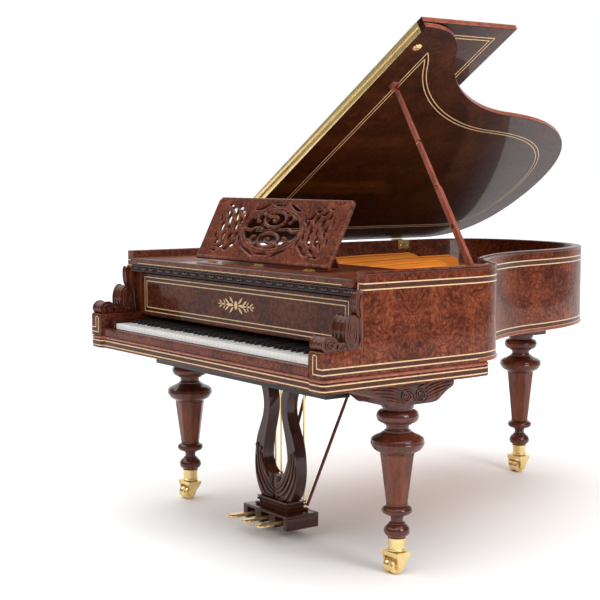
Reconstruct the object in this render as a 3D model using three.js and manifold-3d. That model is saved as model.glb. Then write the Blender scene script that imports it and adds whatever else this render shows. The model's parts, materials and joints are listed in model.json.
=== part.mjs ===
// Grand piano in the nineteenth-century style, lid propped open and front flap folded back.
// Millimetres, +X towards the treble (the player's right), +Y towards the tail, +Z up.
// While modelling, Y = 0 is the front of the base moulding and X = 0 the middle of the keyboard;
// at the end the whole piano is moved so that its origin is the centre of its bounding box's floor.
import * as THREE from "three";
import * as BufferGeometryUtils from "three/addons/utils/BufferGeometryUtils.js";
import Module from "manifold-3d";

const wasm = await Module();
wasm.setup();

// ---- driving dimensions ----
const GAP = 0.3;

// case
const CASE_HALF = 735;
const RIM_BOTTOM = 684;
const RIM_TOP = 1004;
const RIM_WALL = 38;
const RIM_FRONT = 165;
const BASE_HALF = 742;
const BASE_BOTTOM = 636;
const BASE_CHAMFER = 12;
const BASE_REAR = 700;
const TREBLE_STRAIGHT = 610;

// keyboard
const WHITE_KEYS = 52;
const WHITE_PITCH = 23.56;
const KEYS_HALF = (WHITE_KEYS * WHITE_PITCH) / 2;
const WHITE_FRONT = 42;
const WHITE_HEAD_END = 92;
const WHITE_TOP = 733;
const WHITE_BOTTOM = 713;
const SHARP_TOP = 745;
const SHARP_FRONT = 96;
const SHARP_WIDTH = 11;
const KEY_REAR = 290;
const ARM_INNER = 666;

// fallboard, shelf and desk
const FALL_FRONT = 183;
const FALL_REAR = 201;
const FALL_BOTTOM = 756;
const FALL_TOP = 920;
const SHELF_FRONT = 153;
const SHELF_BOTTOM = 952;
const SHELF_TOP = 977;
const SHELF_REAR = 585;
const DESK_HINGE_Y = 285;
const DESK_HINGE_Z = 982;
const DESK_TILT = THREE.MathUtils.degToRad(63);
const DESK_HALF = 412;
const DESK_HEIGHT = 256;
const DESK_THICKNESS = 10;
const STRUT_REACH = 140;

// lid
const LID_OPEN = THREE.MathUtils.degToRad(31.9);
const LID_AXIS_X = -744;
const LID_AXIS_Z = 1006;
const LID_BOTTOM = 1008;
const LID_THICKNESS = 21;
const LID_OVERHANG = 5;
const LID_SPLIT_Y = 605;
const LID_SPLIT_HALF_GAP = 3;
const FLAP_FRONT = 160;
const FLAP_AXIS_Z = LID_BOTTOM + LID_THICKNESS + 1.5;
const LEAF_THICKNESS = 2;

// prop stick
const PROP_X = 650;
const PROP_Y = 705;
const PROP_Z = 975;
const PROP_ANGLE = THREE.MathUtils.degToRad(122.5);
const PROP_LENGTH = 575;
const PROP_CUP = { x: 417, y: 697 };

// legs and casters
const FRONT_LEG = { x: 639, y: 386, top: 567 };
const REAR_LEG = { x: -201, y: 1811, top: 610 };
const FERRULE_BOTTOM = 73;
const FERRULE_TOP = 118;
const CASTER_TRAIL = 16;
const WHEEL_RADIUS = 25;
const WHEEL_HALF = 28;

// lyre
const LYRE_Y = 377;
const LYRE_HALF_DEPTH = 25;
const PEDAL_PITCH = 88;
const PEDAL_Z = 62;
const PEDAL_TIP_Y = 206;
const ROD_Y = 416;
const MIDDLE_ROD_Y = 377;

const piano = new THREE.Group();

// ---- materials ----
const finish = (color, roughness, metalness) => () =>
  new THREE.MeshStandardMaterial({ color, roughness, metalness });
const burl = finish(0x6b2a17, 0.22, 0);
const darkWood = finish(0x3a140d, 0.2, 0);
const redWood = finish(0x7a2f1c, 0.3, 0);
const blackWood = finish(0x15110f, 0.45, 0);
const spruce = finish(0xc79a5b, 0.5, 0);
const brass = finish(0xd9a94a, 0.22, 1);
const ironGold = finish(0xc08a35, 0.4, 0.6);
const ivory = finish(0xf2efe6, 0.25, 0);
const ebony = finish(0x0d0c0c, 0.35, 0);
const felt = finish(0x1b1a1c, 0.95, 0);

// ---- geometry helpers ----
function addMesh(parent, name, geometry, material) {
  const mesh = new THREE.Mesh(geometry, material());
  mesh.name = name;
  parent.add(mesh);
  return mesh;
}

function toShape(points, holes = []) {
  const shape = new THREE.Shape(points.map(([x, y]) => new THREE.Vector2(x, y)));
  shape.holes = holes.map((hole) => new THREE.Path(hole.map(([x, y]) => new THREE.Vector2(x, y))));
  return shape;
}

// A plan outline of [x, y] points, raised from one height to another.
function extrudeZ(points, low, high, holes = []) {
  const geometry = new THREE.ExtrudeGeometry(toShape(points, holes), {
    depth: high - low,
    bevelEnabled: false,
  });
  return geometry.translate(0, 0, low);
}

// A side outline of [y, z] points, carried along X.
function extrudeX(points, low, high) {
  const geometry = new THREE.ExtrudeGeometry(toShape(points), { depth: high - low, bevelEnabled: false });
  const turn = new THREE.Matrix4().set(0, 0, 1, low, 1, 0, 0, 0, 0, 1, 0, 0, 0, 0, 0, 1);
  return geometry.applyMatrix4(turn);
}

// A front outline of [x, z] points, carried along Y.
function extrudeY(points, low, high) {
  const geometry = new THREE.ExtrudeGeometry(toShape(points), { depth: high - low, bevelEnabled: false });
  const turn = new THREE.Matrix4().set(1, 0, 0, 0, 0, 0, -1, high, 0, 1, 0, 0, 0, 0, 0, 1);
  return geometry.applyMatrix4(turn);
}

function block(x0, x1, y0, y1, z0, z1) {
  const geometry = new THREE.BoxGeometry(x1 - x0, y1 - y0, z1 - z0);
  return geometry.translate((x0 + x1) / 2, (y0 + y1) / 2, (z0 + z1) / 2);
}

// A turned piece about the Z axis from [radius, height] points, closed on the axis at both ends.
function turned(profile, segments = 20) {
  const points = profile.map(([radius, height]) => new THREE.Vector2(radius, height));
  const geometry = new THREE.LatheGeometry(points, segments);
  return geometry.rotateX(Math.PI / 2);
}

function rod(from, to, radius, sides = 10) {
  const start = new THREE.Vector3(...from);
  const along = new THREE.Vector3(...to).sub(start);
  const geometry = new THREE.CylinderGeometry(radius, radius, along.length(), sides);
  const turn = new THREE.Quaternion().setFromUnitVectors(
    new THREE.Vector3(0, 1, 0),
    along.clone().normalize(),
  );
  geometry.applyQuaternion(turn);
  return geometry.translate(...start.addScaledVector(along, 0.5).toArray());
}

function toManifold(geometry) {
  const bare = geometry.clone();
  bare.deleteAttribute("normal");
  bare.deleteAttribute("uv");
  const merged = BufferGeometryUtils.mergeVertices(bare, 1e-4);
  return new wasm.Manifold(
    new wasm.Mesh({
      numProp: 3,
      vertProperties: new Float32Array(merged.attributes.position.array),
      triVerts: new Uint32Array(merged.index.array),
    }),
  );
}

function fromManifold(solid) {
  const { vertProperties, triVerts } = solid.getMesh();
  const geometry = new THREE.BufferGeometry();
  geometry.setAttribute("position", new THREE.BufferAttribute(vertProperties, 3));
  geometry.setIndex(new THREE.BufferAttribute(triVerts, 1));
  geometry.computeVertexNormals();
  return geometry;
}

const join = (geometries) =>
  fromManifold(geometries.map(toManifold).reduce((sum, solid) => sum.add(solid)));
const cut = (geometry, tools) =>
  fromManifold(tools.map(toManifold).reduce((left, tool) => left.subtract(tool), toManifold(geometry)));

const mirrorX = (points) => points.map(([x, y]) => [-x, y]).reverse();

// The case's plan, from the treble front round the bentside and tail to the bass front.
function caseOutline(front, offset = 0) {
  const path = new THREE.Path();
  path.moveTo(CASE_HALF, front);
  path.lineTo(CASE_HALF, TREBLE_STRAIGHT);
  path.bezierCurveTo(CASE_HALF, 745, 690, 795, 583, 861);
  path.bezierCurveTo(425, 950, 265, 1190, 242, 1432);
  path.bezierCurveTo(215, 1640, 150, 2035, -330, 2040);
  path.bezierCurveTo(-560, 2040, -CASE_HALF, 1960, -CASE_HALF, 1700);
  path.lineTo(-CASE_HALF, front);
  const points = path.getPoints(9);
  return points.map((point, i) => {
    const before = points[Math.max(i - 1, 0)];
    const after = points[Math.min(i + 1, points.length - 1)];
    const along = after.clone().sub(before).normalize();
    return [point.x + along.y * offset, point.y - along.x * offset];
  });
}

// ---- case ----
function addCase() {
  const outer = caseOutline(RIM_FRONT);
  const inner = caseOutline(RIM_FRONT, -RIM_WALL).reverse();
  addMesh(piano, "case_rim", extrudeZ([...outer, ...inner], RIM_BOTTOM, RIM_TOP), burl);

  const sideBoard = 40;
  const frontBoard = 32;
  const recess = 12;
  const outside = [
    [ARM_INNER, recess],
    [ARM_INNER, 0],
    [BASE_HALF - BASE_CHAMFER, 0],
    [BASE_HALF, BASE_CHAMFER],
    [BASE_HALF, TREBLE_STRAIGHT],
    [BASE_HALF - 6, TREBLE_STRAIGHT + 50],
    [BASE_HALF - 26, BASE_REAR],
  ];
  const inside = [
    [BASE_HALF - sideBoard - 12, BASE_REAR],
    [BASE_HALF - sideBoard, TREBLE_STRAIGHT],
    [BASE_HALF - sideBoard, frontBoard],
  ];
  const band = [...outside, ...inside, ...mirrorX(inside), ...mirrorX(outside)];
  addMesh(piano, "base_moulding", extrudeZ(band, BASE_BOTTOM, RIM_BOTTOM - GAP), burl);

  const bedHalf = BASE_HALF - sideBoard - GAP;
  const bedBottom = 650;
  addMesh(
    piano,
    "keybed",
    extrudeZ(
      [
        [-bedHalf, frontBoard + GAP],
        [bedHalf, frontBoard + GAP],
        [bedHalf, TREBLE_STRAIGHT],
        [bedHalf - 14, BASE_REAR],
        [-bedHalf + 14, BASE_REAR],
        [-bedHalf, TREBLE_STRAIGHT],
      ],
      bedBottom,
      RIM_BOTTOM - GAP,
    ),
    darkWood,
  );
  addMesh(
    piano,
    "underframe_board",
    block(-536, 536, 171, 270, 579, bedBottom - GAP),
    blackWood,
  );

  const slipTop = 712;
  addMesh(
    piano,
    "key_slip",
    block(-ARM_INNER + GAP, ARM_INNER - GAP, 14, 38, RIM_BOTTOM, slipTop),
    burl,
  );
  for (const [side, name] of [[1, "treble"], [-1, "bass"]]) {
    const inner = KEYS_HALF + 4;
    const ends = [side * inner, side * (ARM_INNER - GAP)].sort((a, b) => a - b);
    addMesh(
      piano,
      `key_block_${name}`,
      block(ends[0], ends[1], 40, 200, RIM_BOTTOM, 750),
      darkWood,
    );
  }
}

// Each arm is a low cheek beside the keys with two carved volutes on it, and a post behind them that
// closes the fallboard's end. A bracket swells out of the rim's front edge above the volutes.
function addArms() {
  const oval = (cy, cz, ry, rz) =>
    Array.from({ length: 16 }, (_, i) => {
      const angle = (i * Math.PI) / 8;
      return [cy + ry * Math.cos(angle), cz + rz * Math.sin(angle)];
    });
  const back = RIM_FRONT - GAP;
  const inner = CASE_HALF - RIM_WALL - GAP;
  const cheekTop = 766;
  const bracket = [
    [back, cheekTop - 2],
    [back, 948],
    [159, 942],
    [152, 920],
    [150, 896],
    [155, 870],
    [150, 850],
    [140, cheekTop - 2],
  ];
  const link = [
    [30, cheekTop - 2],
    [150, cheekTop - 2],
    [130, 786],
    [62, 790],
  ];
  const arm = join([
    block(ARM_INNER, CASE_HALF, 4, back, RIM_BOTTOM, cheekTop),
    block(ARM_INNER, inner, 100, FALL_REAR, RIM_BOTTOM, cheekTop),
    block(ARM_INNER - 4, inner, FALL_FRONT, FALL_REAR, 750, 925.7),
    extrudeX(bracket, inner + GAP, CASE_HALF),
    extrudeX(link, ARM_INNER + 6, CASE_HALF - 4),
    extrudeX(oval(123, 815, 26, 52), ARM_INNER, CASE_HALF),
    extrudeX(oval(36, 788, 29, 27), ARM_INNER, CASE_HALF),
  ]);
  addMesh(piano, "arm_treble", arm, burl);
  const bass = toManifold(arm).mirror([1, 0, 0]);
  addMesh(piano, "arm_bass", fromManifold(bass), burl);
}

// ---- inside the case ----
// Everything within the case plan, drawn in by an inset and starting at a given front line.
function caseFill(front, inset, low, high) {
  const plan = toManifold(extrudeZ(caseOutline(RIM_FRONT, -inset), low, high));
  return plan.intersect(toManifold(block(-900, 900, front, 2200, low - 1, high + 1)));
}

function addInside() {
  const boardBottom = 800;
  const boardTop = 808;
  const clear = RIM_WALL + 1;
  addMesh(piano, "soundboard", fromManifold(caseFill(640, clear, boardBottom, boardTop)), spruce);

  const beamTop = boardBottom - GAP;
  const posts = [
    block(-720, 720, 702, 770, RIM_BOTTOM, beamTop),
    rod([-430, 740, 740], [-560, 2050, 740], 42, 4),
    rod([-200, 740, 740], [-200, 2050, 740], 42, 4),
    rod([60, 740, 740], [-60, 2050, 740], 42, 4),
    rod([330, 740, 740], [330, 1300, 740], 42, 4),
    block(-330, -70, 1740, 1880, RIM_BOTTOM, 780),
  ];
  const frame = posts.map(toManifold).reduce((sum, solid) => sum.add(solid));
  const within = caseFill(702, clear, RIM_BOTTOM, beamTop);
  addMesh(piano, "back_frame", fromManifold(frame.intersect(within)), spruce);

  const plateBottom = 878;
  const plateTop = 893;
  const strutTop = 955;
  const window = caseFill(780, RIM_WALL + 120, plateBottom - 1, plateTop + 1);
  const ring = caseFill(424, RIM_WALL + 4, plateBottom, plateTop).subtract(window);
  const bars = [[-520, 1500], [-300, 1530], [-60, 1250], [150, 1080], [340, 960]];
  const struts = bars
    .map(([x, rear]) => toManifold(block(x - 14, x + 14, 730, rear, plateTop - 1, strutTop)))
    .reduce((sum, solid) => sum.add(solid))
    .intersect(caseFill(720, RIM_WALL + 60, plateTop - 1, strutTop));
  addMesh(piano, "iron_plate", fromManifold(ring.add(struts)), ironGold);
  addMesh(piano, "pin_block", block(-690, 690, 428, 620, 838, plateBottom - GAP), darkWood);

  const bridgeTop = 877;
  const strip = (centre, half) => {
    const curve = new THREE.CatmullRomCurve3(centre.map(([x, y]) => new THREE.Vector3(x, y, 0)));
    const steps = 14;
    const side = (sign) =>
      Array.from({ length: steps + 1 }, (_, i) => {
        const point = curve.getPoint(i / steps);
        const along = curve.getTangent(i / steps);
        return [point.x + sign * half * along.y, point.y - sign * half * along.x];
      });
    return [...side(1), ...side(-1).reverse()];
  };
  const treble = [[430, 830], [270, 960], [150, 1200], [30, 1480], [-170, 1700]];
  const bass = [[-600, 1640], [-470, 1730], [-320, 1790]];
  addMesh(piano, "treble_bridge", extrudeZ(strip(treble, 15), boardTop + GAP, bridgeTop), spruce);
  addMesh(piano, "bass_bridge", extrudeZ(strip(bass, 15), boardTop + GAP, bridgeTop), spruce);
}

// ---- keyboard and action ----
// Sharps follow the white keys of an octave that begins on C; the keyboard begins on A.
const hasSharpAfter = (white) => {
  const step = (white + 5) % 7;
  return step !== 2 && step !== 6 && white < WHITE_KEYS - 1;
};
const sharpCentre = (white) => {
  const nudge = [-2.5, 2.5, 0, -3, 0, 3, 0][(white + 5) % 7];
  return -KEYS_HALF + (white + 1) * WHITE_PITCH + nudge;
};

function addKeyboard() {
  const slot = 0.5;
  const notch = SHARP_WIDTH / 2 + 1.2;
  const tailEnd = 190;
  const outline = [[-KEYS_HALF + slot, WHITE_FRONT]];
  for (let white = 0; white < WHITE_KEYS - 1; white++) {
    const edge = -KEYS_HALF + (white + 1) * WHITE_PITCH;
    outline.push([edge - slot, WHITE_FRONT]);
    if (hasSharpAfter(white)) {
      const middle = sharpCentre(white);
      outline.push([edge - slot, WHITE_HEAD_END], [middle - notch, WHITE_HEAD_END]);
      outline.push([middle - notch, tailEnd], [middle + notch, tailEnd]);
      outline.push([middle + notch, WHITE_HEAD_END], [edge + slot, WHITE_HEAD_END]);
    } else {
      outline.push([edge - slot, tailEnd], [edge + slot, tailEnd]);
    }
    outline.push([edge + slot, WHITE_FRONT]);
  }
  outline.push([KEYS_HALF - slot, WHITE_FRONT], [KEYS_HALF - slot, KEY_REAR]);
  outline.push([-KEYS_HALF + slot, KEY_REAR]);
  addMesh(piano, "white_keys", extrudeZ(outline, WHITE_BOTTOM, WHITE_TOP), ivory);

  const sharpSide = [
    [SHARP_FRONT, WHITE_BOTTOM + 6],
    [tailEnd - 4, WHITE_BOTTOM + 6],
    [tailEnd - 4, WHITE_TOP + 6],
    [tailEnd + 6, WHITE_TOP + 6],
    [tailEnd + 6, SHARP_TOP],
    [SHARP_FRONT + 6, SHARP_TOP],
    [SHARP_FRONT, WHITE_TOP],
  ];
  const sharps = [block(-KEYS_HALF + 2, KEYS_HALF - 2, tailEnd, KEY_REAR, WHITE_TOP + 5, SHARP_TOP)];
  for (let white = 0; white < WHITE_KEYS - 1; white++) {
    if (hasSharpAfter(white)) {
      const middle = sharpCentre(white);
      sharps.push(extrudeX(sharpSide, middle - SHARP_WIDTH / 2, middle + SHARP_WIDTH / 2));
    }
  }
  addMesh(piano, "black_keys", join(sharps), ebony);

  addMesh(piano, "key_frame", block(-KEYS_HALF, KEYS_HALF, 60, 610, 686, 700), spruce);
  const stack = [
    [310, 700 + GAP],
    [600, 700 + GAP],
    [600, 760],
    [560, 826],
    [520, 830],
    [470, 780],
    [310, 730],
  ];
  addMesh(piano, "action_stack", extrudeX(stack, -605, 605), spruce);
}

function addDampers() {
  const teeth = Array.from({ length: 12 }, (_, i) => {
    const x = -590 + i * 76;
    return block(x, x + 62, 644, 678, 896, 922);
  });
  addMesh(piano, "damper_rail", join([block(-600, 310, 652, 670, 921, 934), ...teeth]), felt);
}

// ---- fallboard, shelf and music desk ----
function addFront() {
  addMesh(
    piano,
    "fallboard",
    block(-ARM_INNER + 5, ARM_INNER - 5, FALL_FRONT, FALL_REAR, FALL_BOTTOM, FALL_TOP),
    burl,
  );
  const rail = [
    [150, 926],
    [228, 926],
    [228, SHELF_BOTTOM - GAP],
    [166, SHELF_BOTTOM - GAP],
    [166, 945],
    [150, 945],
  ];
  const runnerHalf = CASE_HALF - RIM_WALL - GAP;
  const runnerTop = SHELF_BOTTOM - GAP;
  const railParts = [
    extrudeX(rail, -runnerHalf, runnerHalf),
    block(-runnerHalf, -runnerHalf + 24, 220, 600, 938, runnerTop),
    block(runnerHalf - 24, runnerHalf, 220, 600, 938, runnerTop),
  ];
  addMesh(piano, "name_rail", join(railParts), darkWood);
  const shelfHalf = CASE_HALF - RIM_WALL - 2;
  addMesh(
    piano,
    "music_shelf",
    block(-shelfHalf, shelfHalf, SHELF_FRONT, SHELF_REAR, SHELF_BOTTOM, SHELF_TOP),
    burl,
  );
}

// Scrollwork of the desk: an oval medallion between two sprays of leaves, all cut through.
function deskFretwork() {
  const oval = (x, y, rx, ry, turn = 0) =>
    Array.from({ length: 12 }, (_, i) => {
      const angle = (i * Math.PI) / 6;
      const dx = rx * Math.cos(angle);
      const dy = ry * Math.sin(angle);
      return [
        x + dx * Math.cos(turn) - dy * Math.sin(turn),
        y + dx * Math.sin(turn) + dy * Math.cos(turn),
      ];
    });
  const mid = 138;
  const right = [
    oval(52, mid, 22, 15),
    oval(88, mid + 44, 26, 10, -0.7),
    oval(88, mid - 44, 26, 10, 0.7),
    oval(150, mid, 12, 30, 0.25),
    oval(196, mid + 34, 30, 9, 0.5),
    oval(196, mid - 34, 30, 9, -0.5),
    oval(240, mid, 34, 11),
  ];
  const middle = [oval(0, mid + 44, 40, 20), oval(0, mid - 44, 40, 20)];
  return [...middle, ...right, ...right.map(mirrorX)];
}

function addDesk() {
  const desk = new THREE.Group();
  desk.position.set(0, DESK_HINGE_Y, DESK_HINGE_Z);
  desk.rotation.x = DESK_TILT;
  piano.add(desk);
  const clip = 14;
  const half = [
    [DESK_HALF, 2],
    [DESK_HALF, DESK_HEIGHT - clip],
    [DESK_HALF - clip, DESK_HEIGHT],
  ];
  const rise = 3.5;
  addMesh(
    desk,
    "music_desk",
    extrudeZ([...half, ...mirrorX(half)], rise, rise + DESK_THICKNESS, deskFretwork()),
    burl,
  );

  const strut = new THREE.Group();
  strut.position.set(0, STRUT_REACH, 0);
  strut.rotation.x = -2 * DESK_TILT;
  desk.add(strut);
  const reach = STRUT_REACH + 1.6;
  const legs = [
    [300, 0],
    [300, reach],
    [-300, reach],
    [-300, 0],
    [-276, 0],
    [-276, reach - 24],
    [276, reach - 24],
    [276, 0],
  ];
  addMesh(strut, "desk_strut", extrudeZ(legs, -3, 3), redWood);
}

// ---- lid ----
function addLid() {
  const lid = new THREE.Group();
  lid.position.set(LID_AXIS_X, 0, LID_AXIS_Z);
  lid.rotation.y = -LID_OPEN;
  piano.add(lid);
  const place = (geometry) => geometry.translate(-LID_AXIS_X, 0, -LID_AXIS_Z);
  const top = LID_BOTTOM + LID_THICKNESS;
  const lidFront = LID_SPLIT_Y + LID_SPLIT_HALF_GAP;
  addMesh(
    lid,
    "main_lid",
    place(extrudeZ(caseOutline(lidFront, LID_OVERHANG), LID_BOTTOM, top)),
    burl,
  );
  const edge = CASE_HALF + LID_OVERHANG;
  const leaf = (y0, y1) => block(-edge + 8, edge - 30, y0, y1, LID_BOTTOM + 1, top - 0.5);
  addMesh(
    lid,
    "lid_hinge_leaf",
    place(leaf(lidFront - GAP - LEAF_THICKNESS, lidFront - GAP)),
    brass,
  );

  const cup = cut(
    block(PROP_CUP.x - 26, PROP_CUP.x + 20, PROP_CUP.y - 18, PROP_CUP.y + 18, LID_BOTTOM - 22, LID_BOTTOM - GAP),
    [block(PROP_CUP.x - 12, PROP_CUP.x + 12, PROP_CUP.y - 11, PROP_CUP.y + 11, LID_BOTTOM - 30, LID_BOTTOM - 6)],
  );
  addMesh(lid, "prop_cup", place(cup), redWood);
  const rosette = new THREE.CylinderGeometry(19, 19, 4, 12).rotateX(Math.PI / 2);
  addMesh(lid, "lid_catch", place(rosette.translate(630, 648, LID_BOTTOM - 2 - GAP)), brass);

  for (const [y, name] of [[1110, "front"], [1560, "rear"]]) {
    const strap = [
      [LID_AXIS_X + 3, RIM_TOP + GAP],
      [-696, RIM_TOP + GAP],
      [-696, 966],
      [-693, 966],
      [-693, RIM_TOP + GAP + 1.2],
      [LID_AXIS_X + 3, RIM_TOP + GAP + 1.2],
    ];
    const knuckle = rod([LID_AXIS_X, y - 32, LID_AXIS_Z], [LID_AXIS_X, y + 32, LID_AXIS_Z], 3.6, 10);
    addMesh(piano, `rim_butt_${name}`, join([extrudeY(strap, y - 32, y + 32), knuckle]), brass);
  }

  const flap = new THREE.Group();
  flap.position.set(0, LID_SPLIT_Y, FLAP_AXIS_Z - LID_AXIS_Z);
  flap.rotation.x = -Math.PI;
  lid.add(flap);
  const settle = (geometry) => geometry.translate(-LID_AXIS_X, -LID_SPLIT_Y, -FLAP_AXIS_Z);
  const flapRear = LID_SPLIT_Y - LID_SPLIT_HALF_GAP;
  addMesh(
    flap,
    "front_flap",
    settle(block(-edge, edge, FLAP_FRONT, flapRear, LID_BOTTOM, top)),
    burl,
  );
  addMesh(
    flap,
    "flap_hinge_leaf",
    settle(leaf(flapRear + GAP, flapRear + GAP + LEAF_THICKNESS)),
    brass,
  );
}

// ---- prop stick ----
function addProp() {
  const prop = new THREE.Group();
  prop.position.set(PROP_X, PROP_Y, PROP_Z);
  prop.rotation.y = -PROP_ANGLE;
  piano.add(prop);
  const half = 10;
  addMesh(prop, "prop_stick", block(-12, PROP_LENGTH, -half, half, -half, half), redWood);
  const bracket = join([
    block(PROP_X - 26, PROP_X + 16, PROP_Y - 17, PROP_Y + 34, 944, 958),
    block(PROP_X - 10, PROP_X + 10, PROP_Y - 17, PROP_Y - 12, 956, 990),
    block(PROP_X - 26, PROP_X + 16, PROP_Y - 17, PROP_Y + 34, 894, 946),
  ]);
  addMesh(piano, "prop_bracket", bracket, brass);
}


// ---- legs ----
function addLeg(name, at, lift) {
  const leg = new THREE.Group();
  leg.position.set(at.x, at.y, 0);
  piano.add(leg);
  const octagonTop = 397 + lift;
  const octagonBottom = 227;
  const upper = turned([
    [0, octagonTop - 4],
    [58, octagonTop - 4],
    [60, octagonTop + 10],
    [80, octagonTop + 20],
    [89, octagonTop + 38],
    [82, octagonTop + 56],
    [52, octagonTop + 70],
    [39, octagonTop + 80],
    [38, octagonTop + 96],
    [48, octagonTop + 104],
    [64, octagonTop + 110],
    [70, octagonTop + 124],
    [66, octagonTop + 138],
    [54, octagonTop + 148],
    [54, at.top - GAP],
    [0, at.top - GAP],
  ]);
  const taper = new THREE.CylinderGeometry(58, 36, octagonTop - octagonBottom, 8)
    .rotateX(Math.PI / 2)
    .rotateZ(Math.PI / 8)
    .translate(0, 0, (octagonTop + octagonBottom) / 2);
  const lower = turned([
    [0, FERRULE_TOP + GAP],
    [34, FERRULE_TOP + GAP],
    [43, FERRULE_TOP + 20],
    [38, FERRULE_TOP + 36],
    [22, FERRULE_TOP + 52],
    [22, FERRULE_TOP + 68],
    [40, FERRULE_TOP + 78],
    [52, FERRULE_TOP + 90],
    [42, FERRULE_TOP + 104],
    [30, octagonBottom + 2],
    [0, octagonBottom + 2],
  ]);
  addMesh(leg, `leg_${name}`, join([upper, taper, lower]), darkWood);
  addMesh(
    leg,
    `ferrule_${name}`,
    turned([
      [0, FERRULE_BOTTOM],
      [30, FERRULE_BOTTOM],
      [29, FERRULE_TOP],
      [0, FERRULE_TOP],
    ]),
    brass,
  );

  const cheek = [
    [28, FERRULE_BOTTOM - 1],
    [-34, FERRULE_BOTTOM - 1],
    [-36, 52],
    [-CASTER_TRAIL - 17, 22],
    [-CASTER_TRAIL - 10, 9],
    [-CASTER_TRAIL + 8, 8],
    [-CASTER_TRAIL + 18, 22],
    [22, 50],
  ];
  const fork = join([
    block(-39, 39, -34, 28, 56, FERRULE_BOTTOM - 1),
    extrudeX(cheek, -39, -31),
    extrudeX(cheek, 31, 39),
  ]);
  addMesh(leg, `caster_fork_${name}`, fork, brass);
  const facets = 24;
  const wheel = new THREE.CylinderGeometry(1, 1, WHEEL_HALF * 2, facets, 1);
  const reach = WHEEL_RADIUS / Math.cos(Math.PI / facets);
  wheel.rotateY(Math.PI / facets);
  wheel.rotateZ(Math.PI / 2);
  wheel.scale(1, reach, reach);
  addMesh(leg, `caster_wheel_${name}`, wheel.translate(0, -CASTER_TRAIL, WHEEL_RADIUS), brass);
}

function addLegs() {
  addLeg("treble", FRONT_LEG, 0);
  addLeg("bass", { ...FRONT_LEG, x: -FRONT_LEG.x }, 0);
  addLeg("rear", REAR_LEG, 44);
  const bracket = [
    [FRONT_LEG.y + 84, FRONT_LEG.top],
    [FRONT_LEG.y + 112, FRONT_LEG.top + 10],
    [FRONT_LEG.y + 136, FRONT_LEG.top + 30],
    [FRONT_LEG.y + 170, BASE_BOTTOM - 24],
    [FRONT_LEG.y + 176, BASE_BOTTOM - GAP],
  ];
  const mirrored = bracket.map(([y, z]) => [2 * FRONT_LEG.y - y, z]).reverse();
  for (const [side, name] of [[1, "treble"], [-1, "bass"]]) {
    const ends = [side * 560, side * 722].sort((a, b) => a - b);
    addMesh(
      piano,
      `leg_bracket_${name}`,
      extrudeX([...bracket, ...mirrored], ends[0], ends[1]),
      darkWood,
    );
  }
  addMesh(
    piano,
    "leg_block_rear",
    block(REAR_LEG.x - 95, REAR_LEG.x + 95, REAR_LEG.y - 60, REAR_LEG.y + 60, REAR_LEG.top, RIM_BOTTOM - GAP),
    darkWood,
  );
}

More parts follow.
